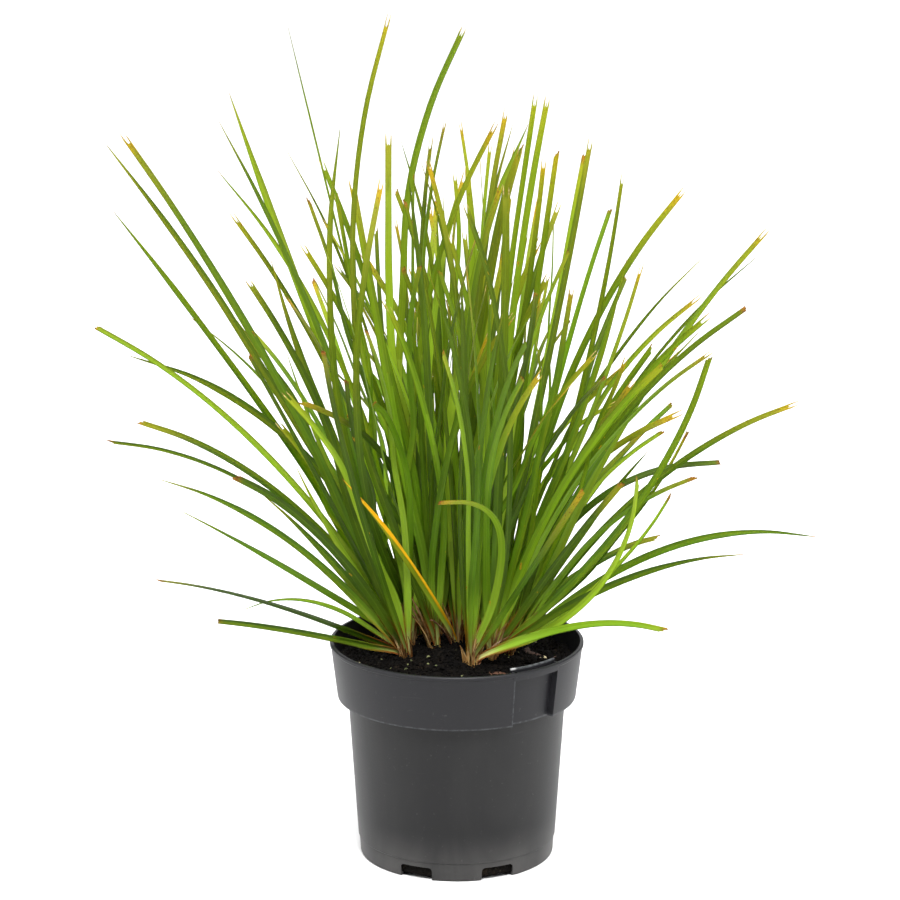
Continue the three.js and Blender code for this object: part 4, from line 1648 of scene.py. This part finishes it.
@dataclass
class DryBits:
    """Dead blades in the crown: brown sheaths round the stem bases, and thin dry tips among the leaves."""

    tussock: Tussock
    name: str
    finish: DrySheath
    seed: int
    each: int
    length: tuple[float, float]
    width: tuple[float, float]
    lean: tuple[float, float]
    start: tuple[float, float] = (3.6, 5.0)
    curl: float = 0.25
    sunk: float = 2.5
    wide_root: float = 1.0

    def build(self) -> bpy.types.Object:
        """Builds the bits as one piece.

        Returns:
            The finished piece.
        """
        bm = blade_mesh()
        stems = self.tussock.mix.stems
        total = len(stems) * self.each
        draw = Draws(self.seed)
        for i in range(total):
            sx, sy = stems[i % len(stems)]
            cx, cy = sx - self.tussock.crown[0], sy - self.tussock.crown[1]
            bearing = math.atan2(cy, cx) + draw.between(-1.9, 1.9)
            lean, length = math.radians(draw.between(*self.lean)), draw.between(*self.length)
            radius = draw.between(*self.start)
            way = np.array((math.cos(bearing), math.sin(bearing), 0.0))
            root = np.array((sx, sy, self.tussock.mix.surface(sx, sy) - self.sunk)) + way * radius
            curl = draw.between(-self.curl, self.curl)
            side = np.array((-way[1], way[0], 0.0))
            guide = []
            for k in range(5):
                s = k / 4
                tilt = lean * (0.5 + 0.6 * s)
                guide.append(root + length * s * (way * math.sin(tilt) + side * curl * s * s))
                guide[-1][2] += length * s * math.cos(tilt)
            roll = math.degrees(math.atan2(way[0], -way[1])) + draw.between(-25, 25)
            strap = Blade(
                np.array(guide),
                draw.between(*self.width),
                POINT,
                roll=roll,
                twist=draw.between(-70, 70),
                look=(draw.next(), 0.0, 0.0),
                columns=4,
                rows=12,
                thickness=0.2,
                channel=0.7,
                root_width=self.wide_root,
                tip_width=0.7,
                taper=length * 0.7,
                under=1.5,
                buried=0.0,
            )
            strap.build(bm, (i / total, (i + 1) / total), self.seed + i)
        return placed(self.name, bm, self.finish.material())


@dataclass
class Studio:
    """The camera at the photograph's angle, the pale floor, and soft light from all round."""

    camera_place: Triple = (-0.0038, -1.883, 0.709)
    camera_tilt: float = 75.84
    lens: float = 140.0
    floor_size: float = 6.0
    horizon: float = 0.2
    zenith: float = 1.5
    lit_place: Triple = (0.0, 0.0, 0.25)
    # Each light: its name, place, size and power.
    lights: tuple = (
        ("key", (0.2, -1.5, 2.1), 0.8, 76.0),
        ("sky", (-0.2, -0.1, 2.4), 1.6, 40.0),
        ("right", (1.9, -0.6, 1.1), 1.2, 22.0),
        ("left", (-1.9, -0.5, 1.1), 1.2, 18.0),
        ("behind", (0.2, 2.0, 1.6), 2.0, 14.0),
    )
    flag_place: float = -2.4
    flag_size: tuple[float, float] = (5.0, 2.6)

    def camera(self) -> None:
        """Makes the camera."""
        data = bpy.data.cameras.new("camera")
        data.lens = self.lens
        data.sensor_width = 36.0
        camera = bpy.data.objects.new("camera", data)
        camera.location = self.camera_place
        camera.rotation_euler = (math.radians(self.camera_tilt), 0, 0)
        bpy.context.scene.collection.objects.link(camera)
        bpy.context.scene.camera = camera

    def light(self, name: str, at: Triple, size: float, power: float) -> None:
        """Makes one soft light that faces the tussock."""
        data = bpy.data.lights.new(name, "AREA")
        data.shape = "DISK"
        data.size = size
        data.energy = power
        lamp = bpy.data.objects.new(name, data)
        lamp.location = at
        lamp.rotation_euler = (Vector(at) - Vector(self.lit_place)).to_track_quat("Z", "Y").to_euler()
        bpy.context.scene.collection.objects.link(lamp)

    def floor(self) -> None:
        """Makes the pale floor, painted darker near the object against the pool of light there, which glows a
        little where the dark card shades it.
        """
        bm = bmesh.new()
        bmesh.ops.create_circle(bm, cap_ends=True, radius=self.floor_size, segments=96)
        mesh = bpy.data.meshes.new("floor")
        bm.to_mesh(mesh)
        bm.free()
        shader = Shader("pale_floor")
        place = shader.place()
        x, y, _ = shader.parts(place)
        # The floor is painted darker towards the object: painted shade that offsets the pool of light there,
        # so the floor still shows white.
        far = shader.smooth(shader.maths("SQRT", x * x + y * y) + shader.noise(place, 3.0) * 0.02, 0.1, 3.2)
        colour = shader.mix(far, (0.76, 0.76, 0.76, 1), (0.95, 0.95, 0.95, 1))
        shaded = shader.smooth(y, self.flag_place + 0.3, self.flag_place + 0.02)
        glow = shader.mix(shaded, (0, 0, 0, 1), (1, 1, 1, 1))
        material = shader.close(
            Base_Color=colour,
            Roughness=0.9,
            Specular_IOR_Level=0.1,
            Emission_Color=glow,
            Emission_Strength=1.0,
        )
        mesh.materials.append(material)
        floor = bpy.data.objects.new("floor", mesh)
        bpy.context.scene.collection.objects.link(floor)

    def flag(self) -> None:
        """Makes the dark card behind the camera, which keeps light off the object's front."""
        bm = bmesh.new()
        bmesh.ops.create_grid(bm, x_segments=8, y_segments=2, size=1.0)
        stand = Matrix.Rotation(math.radians(90), 4, "X")
        wide, tall = self.flag_size[0] / 2, self.flag_size[1] / 2
        at = Matrix.Translation((0, self.flag_place, tall + 0.02))
        put = at @ stand @ Matrix.Diagonal((wide, tall, 1, 1))
        bmesh.ops.transform(bm, matrix=put, verts=bm.verts)
        mesh = bpy.data.meshes.new("flag")
        bm.to_mesh(mesh)
        bm.free()
        shader = Shader("black_card")
        shade = shader.noise(shader.place(), 4.0)
        colour = shader.mix(shade, (0.01, 0.01, 0.01, 1), (0.02, 0.02, 0.02, 1))
        mesh.materials.append(shader.close(Base_Color=colour, Roughness=0.9, Specular_IOR_Level=0.0))
        card = bpy.data.objects.new("flag", mesh)
        card.visible_camera = False
        bpy.context.scene.collection.objects.link(card)

    def world(self) -> None:
        """Makes the white surroundings, which light the object from above more than from the side."""
        world = bpy.data.worlds.new("white")
        world.use_nodes = True
        tree = world.node_tree
        split = tree.nodes.new("ShaderNodeSeparateXYZ")
        rise = tree.nodes.new("ShaderNodeMapRange")
        rise.inputs["To Min"].default_value = self.horizon
        rise.inputs["To Max"].default_value = self.zenith
        tree.links.new(tree.nodes.new("ShaderNodeTexCoord").outputs["Generated"], split.inputs[0])
        tree.links.new(split.outputs["Z"], rise.inputs["Value"])
        ground = tree.nodes["Background"]
        ground.inputs["Color"].default_value = (1, 1, 1, 1)
        lit = tree.nodes.new("ShaderNodeMath")
        lit.operation = "MAXIMUM"
        tree.links.new(rise.outputs[0], lit.inputs[0])
        tree.links.new(tree.nodes.new("ShaderNodeLightPath").outputs["Is Camera Ray"], lit.inputs[1])
        tree.links.new(lit.outputs[0], ground.inputs["Strength"])
        bpy.context.scene.world = world

    def build(self) -> None:
        """Sets up everything round the object."""
        self.camera()
        self.floor()
        self.flag()
        for light in self.lights:
            self.light(*light)
        self.world()
        bpy.context.scene.view_settings.view_transform = "Standard"


def main() -> None:
    """Builds the dressed object in order and keeps its sizes."""
    logging.basicConfig(level=logging.INFO, format="%(message)s")
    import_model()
    Studio().build()
    pot = Pot()
    pot.build()
    mix = Mix(pot)
    tussock = Tussock(mix)
    mix.build()
    tussock.build()
    bark = Grit("bark_chip", tone(5, 4, 4), tone(18, 15, 12), tone(46, 42, 32), shine=0.06)
    red = Grit("reddish_chip", tone(46, 28, 20), tone(84, 54, 38), tone(112, 82, 60))
    grain = Grit("pale_grain", tone(72, 78, 46), tone(120, 122, 80), tone(60, 66, 40), height=0.0002)
    cream = Grit("cream_bit", tone(176, 160, 116), tone(222, 208, 168), tone(150, 120, 76), height=0.0002)
    Scatter(
        "mix_crumbs",
        bark,
        seed=11,
        count=6400,
        size=(0.8, 2.0),
        flat=(0.6, 1.0),
        long=(1.0, 1.5),
        rough=0.3,
        tilt=60.0,
        sunk=0.1,
        clear=0.0,
    ).build(mix)
    Scatter("bark_chips", bark, 12, 60, size=(3.0, 6.5), flat=(0.2, 0.4), long=(1.2, 2.4)).build(mix)
    near = ((-32.0, 0.0), (-36.0, 1.5), (43.2, 8.0))
    flat, long = (0.2, 0.4), (1.4, 2.4)
    Scatter("reddish_chips", red, 13, 9, size=(3.0, 6.0), flat=flat, long=long, places=near).build(mix)
    near = ((-27.2, -15.0), (-20.8, 9.0), (-16.0, -24.0), (-22.2, -20.0), (-11.6, -26.0), (2.9, -33.0))
    flat, long = (0.6, 0.9), (1.0, 1.3)
    Scatter("pale_grains", grain, 14, 22, size=(1.2, 2.6), flat=flat, long=long, places=near).build(mix)
    near = ((47.5, 3.0), (49.8, 4.5), (-54.8, -8.0))
    flat, long = (0.5, 0.8), (1.4, 2.6)
    Scatter("cream_bits", cream, 15, 2, size=(1.2, 2.6), flat=flat, long=long, places=near).build(mix)
    sheath = DrySheath("dry_sheath", tone(104, 64, 30), tone(174, 136, 80), tone(212, 184, 130))
    tips = DrySheath("dry_tip", tone(110, 66, 44), tone(170, 120, 90), tone(206, 178, 146))
    DryBits(
        tussock,
        "dry_sheaths",
        sheath,
        seed=31,
        each=8,
        length=(12.0, 40.0),
        width=(1.2, 3.2),
        lean=(4.0, 30.0),
    ).build()
    DryBits(
        tussock,
        "dry_tips",
        tips,
        seed=57,
        each=1,
        length=(20.0, 42.0),
        width=(0.8, 1.5),
        lean=(20.0, 62.0),
        curl=0.4,
    ).build()


if __name__ == "__main__":
    main()
